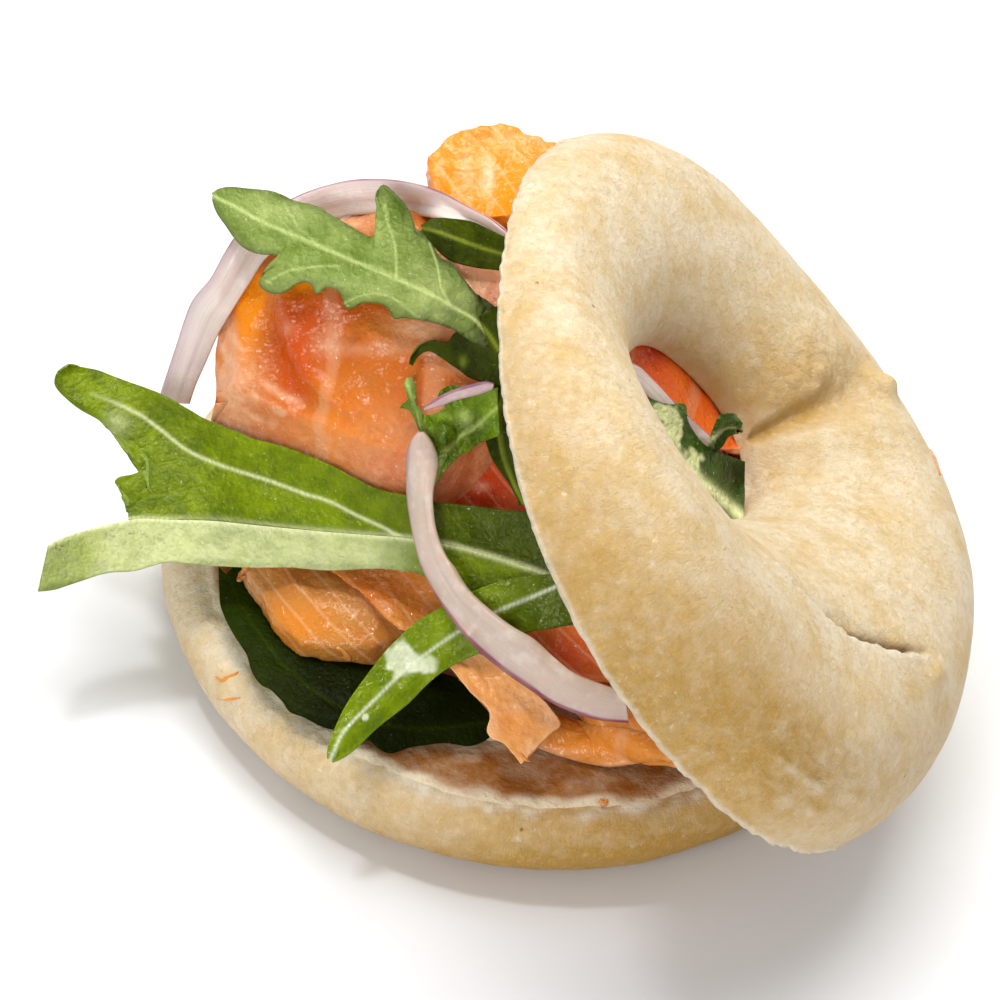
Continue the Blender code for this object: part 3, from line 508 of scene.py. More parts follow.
def lay_sheet(name, node, plan, thick, paint, relief=None, lift=0.1, smooth=12, marks=None, from_above=False,
              hang=None):
    """Thin closed piece over a plan of spots, lying on a fixed node's near face."""
    spots, u, v = plan
    point, back = (plan_point, Vector((0, 0, 1))) if from_above else (view_point, VIEW_BACK)
    depth = laid_depth(node, spots, point, back, smooth)
    rows, columns = depth.shape
    body = np.array([[point(*spots[i, j], depth[i, j])[:] for j in range(columns)] for i in range(rows)])
    normal = np.cross(np.gradient(body, axis=0), np.gradient(body, axis=1))
    normal /= np.maximum(np.linalg.norm(normal, axis=2, keepdims=True), 1e-9)
    flip = (normal @ np.array(back)).mean() < 0
    normal = -normal if flip else normal
    depth_here = thick(u, v) if callable(thick) else np.full(u.shape, thick)
    rise = relief(body, spots, u, v) if relief else np.zeros(u.shape)
    top = body + normal * (lift + rise)[..., None]
    if hang:
        top[..., 2] -= hang(u, v)
    under = top - normal * depth_here[..., None]
    values = {"u": u, "v": np.abs(v), **(marks(body, spots, u, v) if marks else {})}
    points = top.reshape(-1, 3).tolist() + under.reshape(-1, 3).tolist()
    count = rows * columns
    faces = []
    for i in range(rows - 1):
        for j in range(columns - 1):
            a = i * columns + j
            quad = (a, a + columns, a + columns + 1, a + 1)
            faces.append(quad)
            faces.append(tuple(k + count for k in reversed(quad)))
    place = np.arange(count).reshape(rows, columns)
    rim = np.concatenate([place[0], place[1:, -1], place[-1, -2::-1], place[-2:0:-1, 0]]).tolist()
    faces += [(a, b, b + count, a + count) for a, b in zip(rim, rim[1:] + rim[:1])]
    if flip:
        faces = [tuple(reversed(f)) for f in faces]
    full = {key: np.concatenate([value.ravel()] * 2) for key, value in values.items()}
    full["under"] = np.concatenate([np.zeros(count), np.ones(count)])
    return make_piece(name, points, faces, [paint], full)


def tone(red, green, blue):
    """Linear colour from the usual 0 to 255 values."""
    return tuple(((v / 255 + 0.055) / 1.055) ** 2.4 for v in (red, green, blue))


LEAF_SHADE = tone(22, 32, 0)
LEAF_UNDER = tone(140, 166, 78)
LEAF_BRUISE = tone(70, 50, 20)
LEAF_GLINT = tone(232, 240, 214)


def leaf_paint(name, blade, light, vein, rough=0.42, puff=1.0, shine=0.3):
    """Rocket leaf: waxy blade with fine net veins, light main veins, paler under side, brown bruises."""
    blade, light, vein = tone(*blade), tone(*light), tone(*vein)
    paint = Paint(name, Roughness=rough, Specular_IOR_Level=shine, Specular_Tint=(1.0, 1.0, 0.55, 1.0),
                  Coat_Weight=0.3 * shine, Coat_Roughness=0.1)
    net = paint.between(paint.cells(1.3, "DISTANCE_TO_EDGE"), 0.0, 0.09, 1.0, 0.0)
    skin = paint.mix(paint.between(paint.grain(5.0, 4.0, 0.6), 0.3, 0.75), blade, light)
    skin = paint.mix(paint.times(net, 0.12 * puff), skin, light)
    skin = paint.mix(paint.between(paint.grain(0.6, 3.0, 0.7), 0.5, 0.75, 0.0, 0.3 * puff), skin, light)
    cloudy = paint.between(paint.grain(2.6, 3.0, 0.6), 0.3, 0.65, 0.65, 1.0)
    skin = paint.mix(paint.times(paint.mark("pale"), cloudy), skin, vein)
    skin = paint.mix(paint.mark("shade"), skin, LEAF_SHADE)
    skin = paint.mix(paint.times(paint.mark("vein"), 0.9), skin, vein)
    skin = paint.mix(paint.times(paint.mark("under"), 0.45), skin, LEAF_UNDER)
    bruise = paint.times(paint.mark("bruise"), paint.between(paint.grain(0.7, 3.0, 0.7), 0.52, 0.62))
    skin = paint.mix(bruise, skin, LEAF_BRUISE)
    # Painted glints: small white specks of wet shine.
    painted_glints = paint.between(paint.grain(0.45, 2.0, 0.5), 0.70, 0.75, 0.0, min(1.8 * shine, 0.6))
    paint.colour(paint.mix(painted_glints, skin, LEAF_GLINT))
    paint.colour(paint.between(paint.grain(1.6, 3.0), 0.3, 0.7, rough - 0.14, rough + 0.1), "Roughness")
    paint.bump(paint.between(paint.cells(1.3, "DISTANCE_TO_EDGE"), 0.0, 0.35), 0.12 * puff)
    paint.bump(paint.grain(0.7, 3.0, 0.6), 0.3 * puff)
    return paint


def leaf_marks(u, vein, pale=0.0, shade=0.0, bruise=0.0):
    """The marks that a leaf's paint reads, over the whole sheet."""
    return {"vein": vein, "pale": pale + 0 * u, "shade": shade + 0 * u, "bruise": bruise + 0 * u}


def quilted(strength, size=2.6, wave=0.5):
    """Relief of a leaf blade: puffed between veins, with slow waves."""
    def relief(body, spots, u, v):
        return strength * clouds(body, size, 4.0) + wave * clouds(body, 11.0, 2.0)
    return relief


def dark_leaf_marks(body, spots, u, v):
    """Green towards its left end and along the outer edge; painted shade makes it nearly black under the
    heap.
    """
    left = np.clip((330 - spots[..., 0]) / 90, 0, 1)
    outer = np.clip(v, 0, 1)
    return leaf_marks(u, 0.25 * line_mark(spots, DARK_LEAF_RIB, 2.0), left * (0.3 + 0.6 * outer ** 4),
                      np.clip(0.9 * u - 0.1, 0, 1) * (1 - 0.5 * outer ** 6))


# Its blade colours are nearly black: painted shade under the heap.
dark_leaf = lay_sheet(
    "dark_leaf", "leaf_dark_under", leaf_plan(DARK_LEAF_RIB, DARK_LEAF_INNER, DARK_LEAF_OUTER, 190, 40), 0.4,
    leaf_paint("leaf_very_dark_painted_shade", (5, 8, 0), (20, 27, 0), (60, 86, 6), rough=0.46, puff=0.6, shine=0.04),
    quilted(0.25, 3.0, 0.3), lift=0.3, smooth=30, marks=dark_leaf_marks)
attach(dark_leaf, "root")
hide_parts("leaf_dark_under")

# The salmon at the bottom: cold-smoked, cut in thin wide slices and laid in folds. Two slices cover the
# lower leaf, and three more are crumpled over them to fill the heap; only their edges show.
FLESH_GOLD = tone(240, 140, 0)
FLESH_FAT = tone(242, 194, 156)
FLESH_RED = tone(206, 56, 22)
FLESH_GLINT = tone(255, 232, 206)
FULL_TURN = 6.2832
WIDEST_PLAN = 120                        # a plan in millimetres stays under this, one in pixels doesn't


def salmon_paint(name, base, deep=(200, 66, 4)):
    """Smoked salmon: oily orange flesh with pale fat lines, gold and deep red places and a glossy skin."""
    paint = Paint(name, Roughness=0.34, Specular_IOR_Level=0.2, Coat_Weight=0.4, Coat_Roughness=0.05,
                  Subsurface_Weight=0.25, Subsurface_Scale=0.002, Subsurface_Radius=(0.8, 0.4, 0.18),
                  Specular_Tint=(1.0, 0.85, 0.6, 1.0))
    base, deep = tone(*base), tone(*deep)
    flesh = paint.mix(paint.between(paint.grain(7.0, 4.0, 0.6), 0.4, 0.8, 0.0, 0.55), base, deep)
    # The deep and red marks are partly painted shade, in hollows and where other pieces shade the flesh.
    for mark, colour in (("deep", deep), ("gold", FLESH_GOLD), ("red", FLESH_RED)):
        flesh = paint.mix(paint.mark(mark), flesh, colour)
    pale = paint.times(paint.mark("fat"), paint.between(paint.grain(1.6, 4.0, 0.65), 0.25, 0.65, 0.35, 1.0))
    flesh = paint.mix(pale, flesh, FLESH_FAT)
    across = paint.times(paint.mark("seam"), FULL_TURN)
    seam = paint.reckon("SINE", paint.reckon("ADD", across, paint.times(paint.grain(9.0, 1.0), 2.2)))
    flesh = paint.mix(paint.between(seam, 0.80, 1.0, 0.0, 0.24), flesh, FLESH_FAT)
    flesh = paint.mix(paint.between(paint.grain(0.5, 3.0, 0.75), 0.60, 0.72, 0.0, 0.3), flesh, FLESH_FAT)
    # Painted glints: small white specks of wet shine.
    painted_glints = paint.between(paint.grain(0.42, 2.0, 0.5), 0.68, 0.74, 0.0, 0.75)
    flesh = paint.mix(paint.times(painted_glints, paint.between(paint.grain(6.0, 3.0), 0.42, 0.6)), flesh, FLESH_GLINT)
    paint.colour(flesh)
    paint.colour(paint.between(paint.grain(1.1, 3.0), 0.3, 0.7, 0.22, 0.48), "Roughness")
    paint.bump(paint.grain(3.0, 3.0, 0.5), 0.7)
    paint.bump(paint.grain(0.8, 2.0, 0.5), 0.2)
    return paint


def slice_marks(seams=5.0, **blots):
    """Where a slice is gold, deep orange, red or fat, as blots, and how many seams of fat cross it."""
    def marks(body, spots, u, v):
        in_millimetres = abs(spots).max() < WIDEST_PLAN
        where = view_pixels(body) if in_millimetres else spots
        # Deep and red blots are partly painted shade.
        values = {mark: spot_mark(where, blots.get(mark, ())) for mark in ("gold", "deep", "red", "fat")}
        values["fat"] = np.clip(values["fat"] + 0.5 * np.abs(2 * v - 1) ** 10, 0, 1)
        return {**values, "seam": seams * u}
    return marks


def refined(name, node, cell, paint, blots, crumple=0.35):
    """A fixed node's solid with even small faces, softened edges and crumpled skin, as a new piece."""
    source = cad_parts[node]
    rough = bpy.data.objects.new(name + "_rough", source.data.copy())
    bpy.context.scene.collection.objects.link(rough)
    rough.modifiers.new("even", "REMESH").voxel_size = cell * MM
    soften = rough.modifiers.new("soften", "SMOOTH")
    soften.iterations, soften.factor = 5, 0.5
    view = bpy.context.evaluated_depsgraph_get()
    mesh = rough.evaluated_get(view).to_mesh()
    points = []
    for vertex in mesh.vertices:
        p = from_frame(vertex.co)
        d = crumple * (0.7 * lump(p, 4.5, 3.0) + 0.5 * lump(p, 1.8, 5.0) - 0.35)
        points.append(tuple(c + n * d for c, n in zip(p, vertex.normal)))
    faces = [tuple(f.vertices) for f in mesh.polygons]
    rough.evaluated_get(view).to_mesh_clear()
    bpy.data.objects.remove(rough, do_unlink=True)
    where = view_pixels([[p] for p in points])
    marks = {mark: spot_mark(where, blots.get(mark, ())).ravel() for mark in ("gold", "deep", "red", "fat")}
    marks["seam"] = [0.2 * (x + 0.6 * y + 1.2 * z) for x, y, z in points]
    return make_piece(name, points, faces, [paint], marks)


SKIN = {
    "salmon": [(218, 142, 64), (210, 108, 28)], "salmon_red": [(226, 112, 52), (214, 84, 30)],
    "salmon_low": [(188, 126, 58), (186, 98, 30)], "salmon_tab": [(242, 174, 104), (226, 138, 62)],
}
# Red and deep blots are partly painted shade: under the upper half and between the folds.
LAYERS = [
    ("salmon_lower_left", "slice_lower_left", 0.55, "salmon_low",
     {"gold": [(300, 625, 50, 25, 0.45)], "fat": [(390, 600, 40, 18, 0.35), (250, 590, 14, 20, 0.3)],
      "deep": [(430, 580, 40, 14, 0.5)]}),
    ("salmon_lower_right", "slice_lower_right", 0.55, "salmon",
     {"gold": [(600, 740, 60, 20, 0.45)], "fat": [(560, 730, 60, 6, 0.3)],
      "red": [(565, 655, 45, 30, 0.85)]}),
    ("salmon_inner_low", "slice_inner_low", 0.7, "salmon",
     {"red": [(565, 655, 60, 40, 0.8)], "deep": [(370, 590, 60, 20, 0.7)]}),
    ("salmon_inner_mid", "slice_inner_mid", 0.7, "salmon_red",
     {"red": [(478, 485, 50, 35, 0.9)], "fat": [(480, 487, 9, 4, 0.8)]}),
    ("salmon_inner_high", "slice_inner_high", 0.7, "salmon_red",
     {"deep": [(450, 420, 60, 60, 0.5)], "fat": [(470, 375, 18, 10, 0.4)]}),
]
for node, name, cell, finish, blots in LAYERS:
    layer = refined(name, node, cell, salmon_paint("flesh_" + name, *SKIN[finish]), blots)
    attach(layer, "root")
    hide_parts(node)

# The large rocket leaf pointing left. It is folded along its white midrib: the glossy upper side stands up
# behind, with a lobe cut into its end, and the pale half hangs in front.
LEFT_RIB = [
    (50, 545), (69, 536), (95, 528), (122, 522), (142, 519), (174, 520), (213, 521), (265, 526), (318, 531),
    (357, 534), (409, 538), (450, 545), (492, 556), (530, 568), (562, 580), (596, 594),
]
LEFT_LOW = [
    (40, 591), (56, 589), (82, 581), (108, 573), (135, 571), (153, 566), (171, 562), (208, 565), (252, 567),
    (291, 567), (331, 570), (370, 568), (396, 569), (422, 574), (448, 590), (476, 606), (500, 619),
    (524, 629), (548, 628), (575, 624), (604, 626),
]
LEFT_HIGH = [
    (130, 516), (129, 507), (127, 497), (122, 489), (116, 482), (121, 477), (135, 474), (146, 468),
    (149, 460), (145, 452), (135, 442), (119, 433), (101, 421), (80, 409), (64, 396), (56, 386), (56, 378),
    (60, 370), (69, 367), (82, 367), (98, 370), (116, 377), (135, 384), (161, 394), (187, 408), (208, 420),
    (234, 430), (255, 439), (281, 446), (307, 455), (333, 466), (357, 479), (380, 490), (407, 496),
    (440, 503), (480, 507), (525, 512), (556, 518),
]
LEFT_BACK_RIB = [
    (130, 519), (160, 521), (213, 522), (265, 527), (318, 532), (357, 535), (409, 539), (450, 546),
    (492, 557), (530, 569), (558, 578),
]
LEFT_VEIN = [
    (92, 394), (116, 403), (140, 415), (161, 430), (187, 450), (213, 462), (244, 473), (273, 482),
    (305, 494), (331, 502), (357, 515), (383, 527), (400, 536),
]
LEFT_STALK = [(480, 618), (512, 604), (545, 592), (562, 587)]
LOBED_END = 0.28                         # share of the upper outline that goes round the lobed end


def left_back_plan(rows, columns):
    """Grid over the standing blade: from the midrib up to the lobed end and the upper edge."""
    u = np.linspace(0, 1, rows)
    v = np.linspace(0, 1, columns)
    foot = picked(traced(LEFT_BACK_RIB), u ** 1.35)
    edge = picked(traced(LEFT_HIGH), u)
    vein = picked(traced(LEFT_VEIN), np.clip((u - LOBED_END) / (1 - LOBED_END), 0, 1))
    hold = np.clip((u - 0.55 * LOBED_END) / (0.45 * LOBED_END), 0, 1) * (1 - u) ** 0.35
    halfway = 0.5 * foot + 0.5 * edge
    pull = 2 * (vein * hold[:, None] + halfway * (1 - hold[:, None])) - halfway
    w = v[None, :, None]
    spots = foot[:, None] * (1 - w) ** 2 + 2 * pull[:, None] * w * (1 - w) + edge[:, None] * w ** 2
    return as_plan(spots, u, v)


def left_front_marks(body, spots, u, v):
    x = spots[..., 0]
    vein = line_mark(spots, LEFT_RIB, 3.2) + 0.8 * line_mark(spots, LEFT_STALK, 2.0)
    pale = 0.62 * np.clip((430 - x) / 60, 0, 1) * np.clip((x - 60) / 60, 0.35, 1)
    bruises = [(60, 547, 8, 5, 0.8), (122, 533, 14, 5, 0.7), (155, 540, 22, 9, 0.35)]
    shade = np.clip((x - 500) / 90, 0, 0.8)
    return leaf_marks(u, np.clip(vein, 0, 1), pale, shade, spot_mark(spots, bruises))


def left_back_marks(body, spots, u, v):
    x = spots[..., 0]
    vein = 0.8 * line_mark(spots, LEFT_VEIN, 2.0) * np.clip((x - 85) / 40, 0.2, 1)
    vein = np.clip(vein + 0.8 * line_mark(spots, LEFT_RIB, 3.2), 0, 1)
    return leaf_marks(u, vein, spot_mark(spots, [(118, 424, 12, 12, 0.4)]), np.clip((x - 330) / 260, 0, 0.75))


left_paint = leaf_paint("leaf_bright", (76, 98, 0), (122, 142, 0), (222, 228, 176), 0.34, 0.8, 0.2)
left_front = lay_sheet("leaf_left_front", "leaf_left", strip_plan(LEFT_RIB, LEFT_LOW, 220, 34), 0.4,
                       left_paint, quilted(0.14, 1.8, 0.3), lift=0.25, smooth=10, marks=left_front_marks)
left_back = lay_sheet("leaf_left_back", "leaf_left", left_back_plan(300, 60), 0.4, left_paint,
                      quilted(0.16, 1.8, 0.3), lift=0.1, smooth=10, marks=left_back_marks)
for blade in (left_front, left_back):
    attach(blade, "root")
    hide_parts("leaf_left")

# The big slice of salmon on the left, folded over on itself. A gold curl and a deep crease stand at its
# left end, above a pale band of fat; further right it is glossy and pink, with painted glints.
MAIN_LOW = [
    (-49.6, 5.2), (-44.5, 1.8), (-38, -2.6), (-31.5, -7.8), (-25, -12.0), (-19, -14.6), (-13, -12), (-2, -2),
    (8, 6),
]
MAIN_HIGH = [
    (-50.3, 23.5), (-45.5, 26.5), (-38, 29), (-32, 31), (-25, 32), (-18, 32), (-11, 31.5), (-3, 30), (8, 27),
]
HEM_SHARE = 0.075                        # share of the slice's breadth that bends over and hangs down
HEM_DROP = 11.0
HEM_END = 0.80                           # share of its length at which the hem ends
PIXELS_PER_DROP = 4.8                    # how far down the photograph a millimetre of drop shows
MAIN_CREASE = [(262, 292), (266, 325), (276, 362), (291, 392), (306, 404)]
MAIN_SHOULDER = [(290, 300), (296, 340), (308, 372), (326, 392)]
FAT_STRIPES = [
    [(220, 336), (234, 368), (256, 396), (284, 414)], [(230, 332), (248, 362), (270, 388), (296, 402)],
    [(219, 366), (232, 396), (252, 414), (276, 426)],
]
# The deep blots are mostly painted shade: in the crease and its hollow, under the upper leaf and along the
# hem.
MAIN_BLOTS = slice_marks(
    gold=[(247, 300, 11, 52, 1.6), (240, 262, 16, 24, 1.4), (300, 286, 40, 7, 1.2), (385, 330, 40, 8, 0.6),
          (330, 430, 40, 40, 0.4)],
    deep=[(292, 344, 28, 46, 1.0), (298, 386, 18, 20, 0.8), (262, 430, 34, 14, 0.9), (332, 312, 44, 22, 0.6),
          (440, 400, 46, 24, 0.4), (345, 350, 40, 26, 0.4), (430, 462, 60, 20, 0.6)],
    fat=[(424, 328, 36, 13, 0.85), (466, 368, 22, 8, 0.6), (368, 470, 16, 12, 0.45), (385, 350, 40, 7, 0.4),
         (420, 430, 60, 30, 0.25), (335, 222, 50, 12, 0.8), (330, 345, 16, 12, 0.5), (240, 380, 20, 28, 0.6),
         (290, 330, 10, 8, 0.3)],
    seams=4.0)


def main_relief(body, spots, u, v):
    """Lumps, the deep crease with a shoulder beside it, and ripples at the left end."""
    where = view_pixels(body)
    ripple = np.sin(0.9 * (body[..., 0] + 0.8 * body[..., 1])) * np.clip((250 - where[..., 0]) / 40, 0, 1)
    folds = 1.2 * line_mark(where, MAIN_SHOULDER, 14.0) - 1.5 * line_mark(where, MAIN_CREASE, 15.0)
    return 0.6 * clouds(body, 6.0, 2.0) + 0.3 * clouds(body, 2.2, 6.0) + folds + 0.3 * ripple


def hem_drop(u, v):
    """The slice's low edge bends over and hangs down behind the large leaf, but not at its far end."""
    return HEM_DROP * np.clip((HEM_SHARE - v) / HEM_SHARE, 0, 1) ** 1.6 * np.clip((HEM_END - u) / 0.12, 0, 1)


def hemmed_plan(low, high, rows, columns):
    """A strip whose columns crowd towards the low edge, where it bends over."""
    spots, u, v = strip_plan(low, high, rows, columns)
    v = v ** 1.8
    return spots[:, :1] * (1 - v[..., None]) + spots[:, -1:] * v[..., None], u, v


def main_marks(body, spots, u, v):
    """The slice's blots, with stripes of fat across its hanging left edge."""
    marks = MAIN_BLOTS(body, spots, u, v)
    where = view_pixels(body)
    where[..., 1] += PIXELS_PER_DROP * hem_drop(u, v)
    streaky = 0.6 + 0.4 * clouds(body, 2.0, 5.0)
    for stripe in FAT_STRIPES:
        marks["fat"] = np.maximum(marks["fat"], streaky * line_mark(where, stripe, 4.4))
    return marks


def slice_thick(edge, more):
    """A slice's thickness: edge at both long edges, and more in between."""
    return lambda u, v: edge + more * np.sin(np.pi * np.clip(v, 0, 1)) ** 0.5


main_slice = lay_sheet("slice_main", "salmon_main", hemmed_plan(MAIN_LOW, MAIN_HIGH, 190, 130),
                       slice_thick(0.5, 2.2), salmon_paint("flesh_main", (200, 110, 30), (200, 76, 0)),
                       main_relief, lift=0.0, smooth=14, marks=main_marks, from_above=True, hang=hem_drop)
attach(main_slice, "root")
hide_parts("salmon_main")

# Three smaller pieces of salmon: a pink one beside the upper leaf, a gold one standing out behind, and a
# torn strip that hangs at the front and ends in points.
FRONT_SLICE_TOP = [(462, 662), (500, 684), (540, 706), (590, 722), (640, 730), (700, 752)]
FRONT_SLICE_LOW = [
    (470, 690), (500, 722), (528, 742), (548, 751), (566, 757), (596, 764), (630, 763), (660, 761),
    (700, 772),
]
TAB_LEFT = [
    (440, 655), (452, 668), (470, 690), (487, 706), (490, 716), (487, 728), (491, 736), (504, 742),
    (513, 752), (521, 762),
]
TAB_RIGHT = [
    (478, 652), (500, 665), (520, 680), (540, 696), (551, 708), (560, 722), (553, 729), (545, 736),
    (534, 748), (526, 757),
]
PINK_BLOTS = {"fat": [(430, 335, 60, 22, 0.7), (478, 285, 26, 18, 0.6)], "deep": [(492, 292, 6, 14, 0.8)]}
GOLD_BLOTS = {"gold": [(505, 190, 22, 40, 1.0), (470, 205, 40, 14, 0.9), (450, 185, 16, 20, 0.7)],
              "fat": [(488, 178, 7, 20, 0.9), (466, 170, 5, 22, 0.5), (520, 140, 24, 7, 0.4)]}
pink_slice = refined("slice_pink", "salmon_back_pink", 0.35, salmon_paint("flesh_pink", (226, 150, 110)),
                     PINK_BLOTS)
gold_slice = refined("slice_gold", "salmon_top_back", 0.45,
                     salmon_paint("flesh_gold", (240, 152, 52), (226, 110, 14)), GOLD_BLOTS, crumple=0.7)


def tab_relief(body, spots, u, v):
    return 0.35 * clouds(body, 3.0, 1.0) + 0.2 * clouds(body, 1.2, 5.0)


def front_relief(body, spots, u, v):
    return 0.9 * np.sin(np.pi * v) ** 0.6 + 0.35 * clouds(body, 4.0) + 0.15 * clouds(body, 1.5)


tab_marks = slice_marks(gold=[(500, 715, 20, 14, 0.4)], seams=2.0,
                        fat=[(548, 718, 10, 10, 0.9), (531, 748, 8, 10, 0.8), (520, 700, 16, 12, 0.4),
                             (494, 728, 6, 10, 0.6)])
front_marks = slice_marks(gold=[(590, 745, 60, 12, 0.6)], deep=[(600, 722, 50, 8, 0.5)],
                          fat=[(560, 750, 30, 5, 0.3)], seams=3.0)
tab = lay_sheet("slice_tab", "salmon_tab", strip_plan(TAB_LEFT, TAB_RIGHT, 90, 34), 1.0,
                salmon_paint("flesh_tab", *SKIN["salmon_tab"]), tab_relief, lift=0.2, smooth=8,
                marks=tab_marks)
front_slice = lay_sheet("slice_front", "salmon_lower_right",
                        strip_plan(FRONT_SLICE_TOP, FRONT_SLICE_LOW, 120, 34), slice_thick(0.6, 2.0),
                        salmon_paint("flesh_front", *SKIN["salmon"]), front_relief, lift=0.0, smooth=14,
                        marks=front_marks)
for piece, node, finish in (
        (pink_slice, "salmon_back_pink", "salmon_pink"), (front_slice, "salmon_lower_right", "salmon"),
        (gold_slice, "salmon_top_back", "salmon_gold"), (tab, "salmon_tab", "salmon")):
    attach(piece, "root")
    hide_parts(node)

# Red onion, cut in thin rings: flat glassy bands, white with a lilac tinge, with the purple skin left on
# their outer edge. One large ring stands round the slice, one lies over the leaves, and a short end shows
# by the crust.
RING_OUTER = [
    (158, 402), (164, 384), (175, 350), (190, 306), (211, 279), (224, 255), (238, 234), (262, 214),
    (293, 199), (309, 192), (328, 186), (351, 181), (374, 180), (397, 182), (420, 187), (443, 195),
    (466, 208), (489, 220), (512, 238),
]
RING_INNER = [
    (190, 404), (197, 384), (206, 364), (220, 333), (236, 306), (250, 284), (266, 260), (290, 240),
    (314, 226), (339, 219), (355, 216), (381, 215), (400, 216), (416, 217), (433, 219), (450, 222),
    (468, 226), (487, 234), (503, 252),
]
FRONT_OUTER = [
    (420, 433), (412, 440), (407, 453), (406, 475), (407, 502), (412, 532), (420, 563), (434, 591),
    (451, 618), (472, 643), (500, 668), (531, 690), (562, 707), (593, 718), (628, 722),
]
FRONT_INNER = [
    (424, 432), (432, 443), (438, 455), (439, 467), (434, 490), (434, 510), (438, 535), (448, 559),
    (465, 587), (486, 607), (510, 625), (534, 638), (558, 660), (580, 675), (624, 690),
]
BIT_TOP = [(424, 408), (438, 398), (452, 391), (470, 385), (485, 382), (494, 384)]
BIT_LOW = [(425, 411), (441, 407), (456, 401), (473, 397), (486, 393), (493, 390)]
ONION_STREAK = tone(222, 202, 198)
ONION_CLEAR = tone(240, 232, 224)
ONION_LILAC = tone(172, 140, 158)


def onion_paint(name, body=(242, 230, 224), skin=(122, 64, 100)):
    """Onion flesh: glassy, with fine streaks along it, a lilac cast and purple skin at one edge."""
    paint = Paint(name, Roughness=0.22, Specular_IOR_Level=0.5, Coat_Weight=0.3, Coat_Roughness=0.1,
                  Subsurface_Weight=0.35, Subsurface_Scale=0.002, Transmission_Weight=0.12, IOR=1.38)
    streak = paint.grain(1.0, 4.0, 0.6, paint.sheet_spot(6.0, 26.0))
    flesh = paint.mix(paint.between(streak, 0.3, 0.75, 0.0, 0.7), tone(*body), ONION_STREAK)
    flesh = paint.mix(paint.between(paint.grain(2.5, 3.0), 0.45, 0.75, 0.0, 0.5), flesh, ONION_CLEAR)
    flesh = paint.mix(paint.times(paint.mark("lilac"), 0.5), flesh, ONION_LILAC)
    flesh = paint.mix(paint.mark("skin"), flesh, tone(*skin))
    paint.colour(flesh)
    paint.bump(streak, 0.05)
    paint.bump(paint.grain(0.8, 3.0), 0.08)
    return paint


def onion_marks(skin_width, lilac_at=0.62, skin_from=0.0):
    """Purple skin along the outer edge, from this share of the length on, and a lilac line in the band."""
    def marks(body, spots, u, v):
        wavy = skin_width * (1 + 0.4 * clouds(body, 5.0, 3.0))
        full = 0.35 + 0.65 * np.clip((u - skin_from) / 0.2, 0.0, 1.0) if skin_from else 1.0
        return {"skin": np.clip((wavy - v) / 0.05, 0, 1) * full * (0.8 + 0.3 * clouds(body, 3.0)),
                "lilac": 0.3 * np.exp(-((v - lilac_at) / 0.06) ** 2) + 0.8 * np.exp(-(v / 0.25) ** 2)}
    return marks


def onion_thick(most):
    return lambda u, v: most * (0.3 + 0.7 * np.sqrt(np.clip(1 - (2 * v - 1) ** 2, 0, 1)))


def onion_relief(rise):
    """A band with rounded edges and a faint groove along it."""
    return lambda body, spots, u, v: (rise * (np.sqrt(np.clip(1 - (2 * v - 1) ** 4, 0, 1)) - 0.6)
                                      - 0.05 * np.exp(-((v - 0.62) / 0.05) ** 2) + 0.2 * clouds(body, 6.0))


ring_large = lay_sheet("onion_ring_large", "onion_large", strip_plan(RING_OUTER, RING_INNER, 200, 30),
                       onion_thick(1.8), onion_paint("onion_large_flesh"), onion_relief(0.3), lift=0.0,
                       smooth=24, marks=onion_marks(0.05))
ring_front = lay_sheet("onion_ring_front", "onion_front", strip_plan(FRONT_OUTER, FRONT_INNER, 180, 30),
                       onion_thick(2.0), onion_paint("onion_front_flesh", (212, 192, 172), (134, 52, 84)),
                       onion_relief(0.5), lift=0.2, smooth=16, marks=onion_marks(0.14, 0.7, 0.3))
onion_end = lay_sheet("onion_end", "onion_bit", strip_plan(BIT_TOP, BIT_LOW, 60, 14),
                      onion_thick(0.9), onion_paint("onion_end_flesh", (190, 160, 170), (130, 80, 110)),
                      onion_relief(0.3), lift=0.3, smooth=6, marks=onion_marks(0.3, 0.8))
for piece, node in ((ring_large, "onion_large"), (ring_front, "onion_front"), (onion_end, "onion_bit")):
    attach(piece, "root")
    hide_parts(node)

# The smaller rocket leaves. The one pointing down at the front is glossy; the one at the top left shows
# its pale under side; the others are dark or fresh green, with hooked and toothed ends, tucked beside the
# upper half.
FRONT_LEAF_RIB = [
    (332, 757), (345, 730), (368, 706), (407, 668), (441, 643), (468, 626), (496, 611), (544, 591),
    (562, 583), (598, 568),
]
FRONT_LEAF_HIGH = [
    (328, 757), (329, 745), (334, 731), (345, 707), (358, 687), (379, 659), (396, 640), (417, 621),
    (441, 607), (470, 592), (510, 578), (560, 572), (598, 562),
]
FRONT_LEAF_LOW = [
    (334, 761), (343, 757), (356, 748), (379, 726), (407, 704), (424, 687), (441, 672), (462, 660),
    (486, 650), (520, 634), (562, 624), (598, 612),
]
UPPER_RIB = [
    (214, 197), (236, 208), (259, 221), (305, 241), (351, 261), (397, 280), (431, 296), (466, 315),
    (480, 326), (498, 348),
]
UPPER_HIGH = [
    (213, 194), (220, 190), (231, 188), (250, 190), (270, 192), (283, 196), (296, 202), (319, 208),
    (332, 216), (351, 227), (368, 237), (375, 237), (381, 231), (384, 222), (382, 210), (378, 198),
    (379, 190), (384, 186), (391, 190), (404, 204), (412, 216), (415, 228), (420, 232), (427, 230),
    (431, 238), (434, 249), (441, 259), (452, 264), (462, 277), (475, 294), (486, 301), (497, 310),
    (503, 318),
]
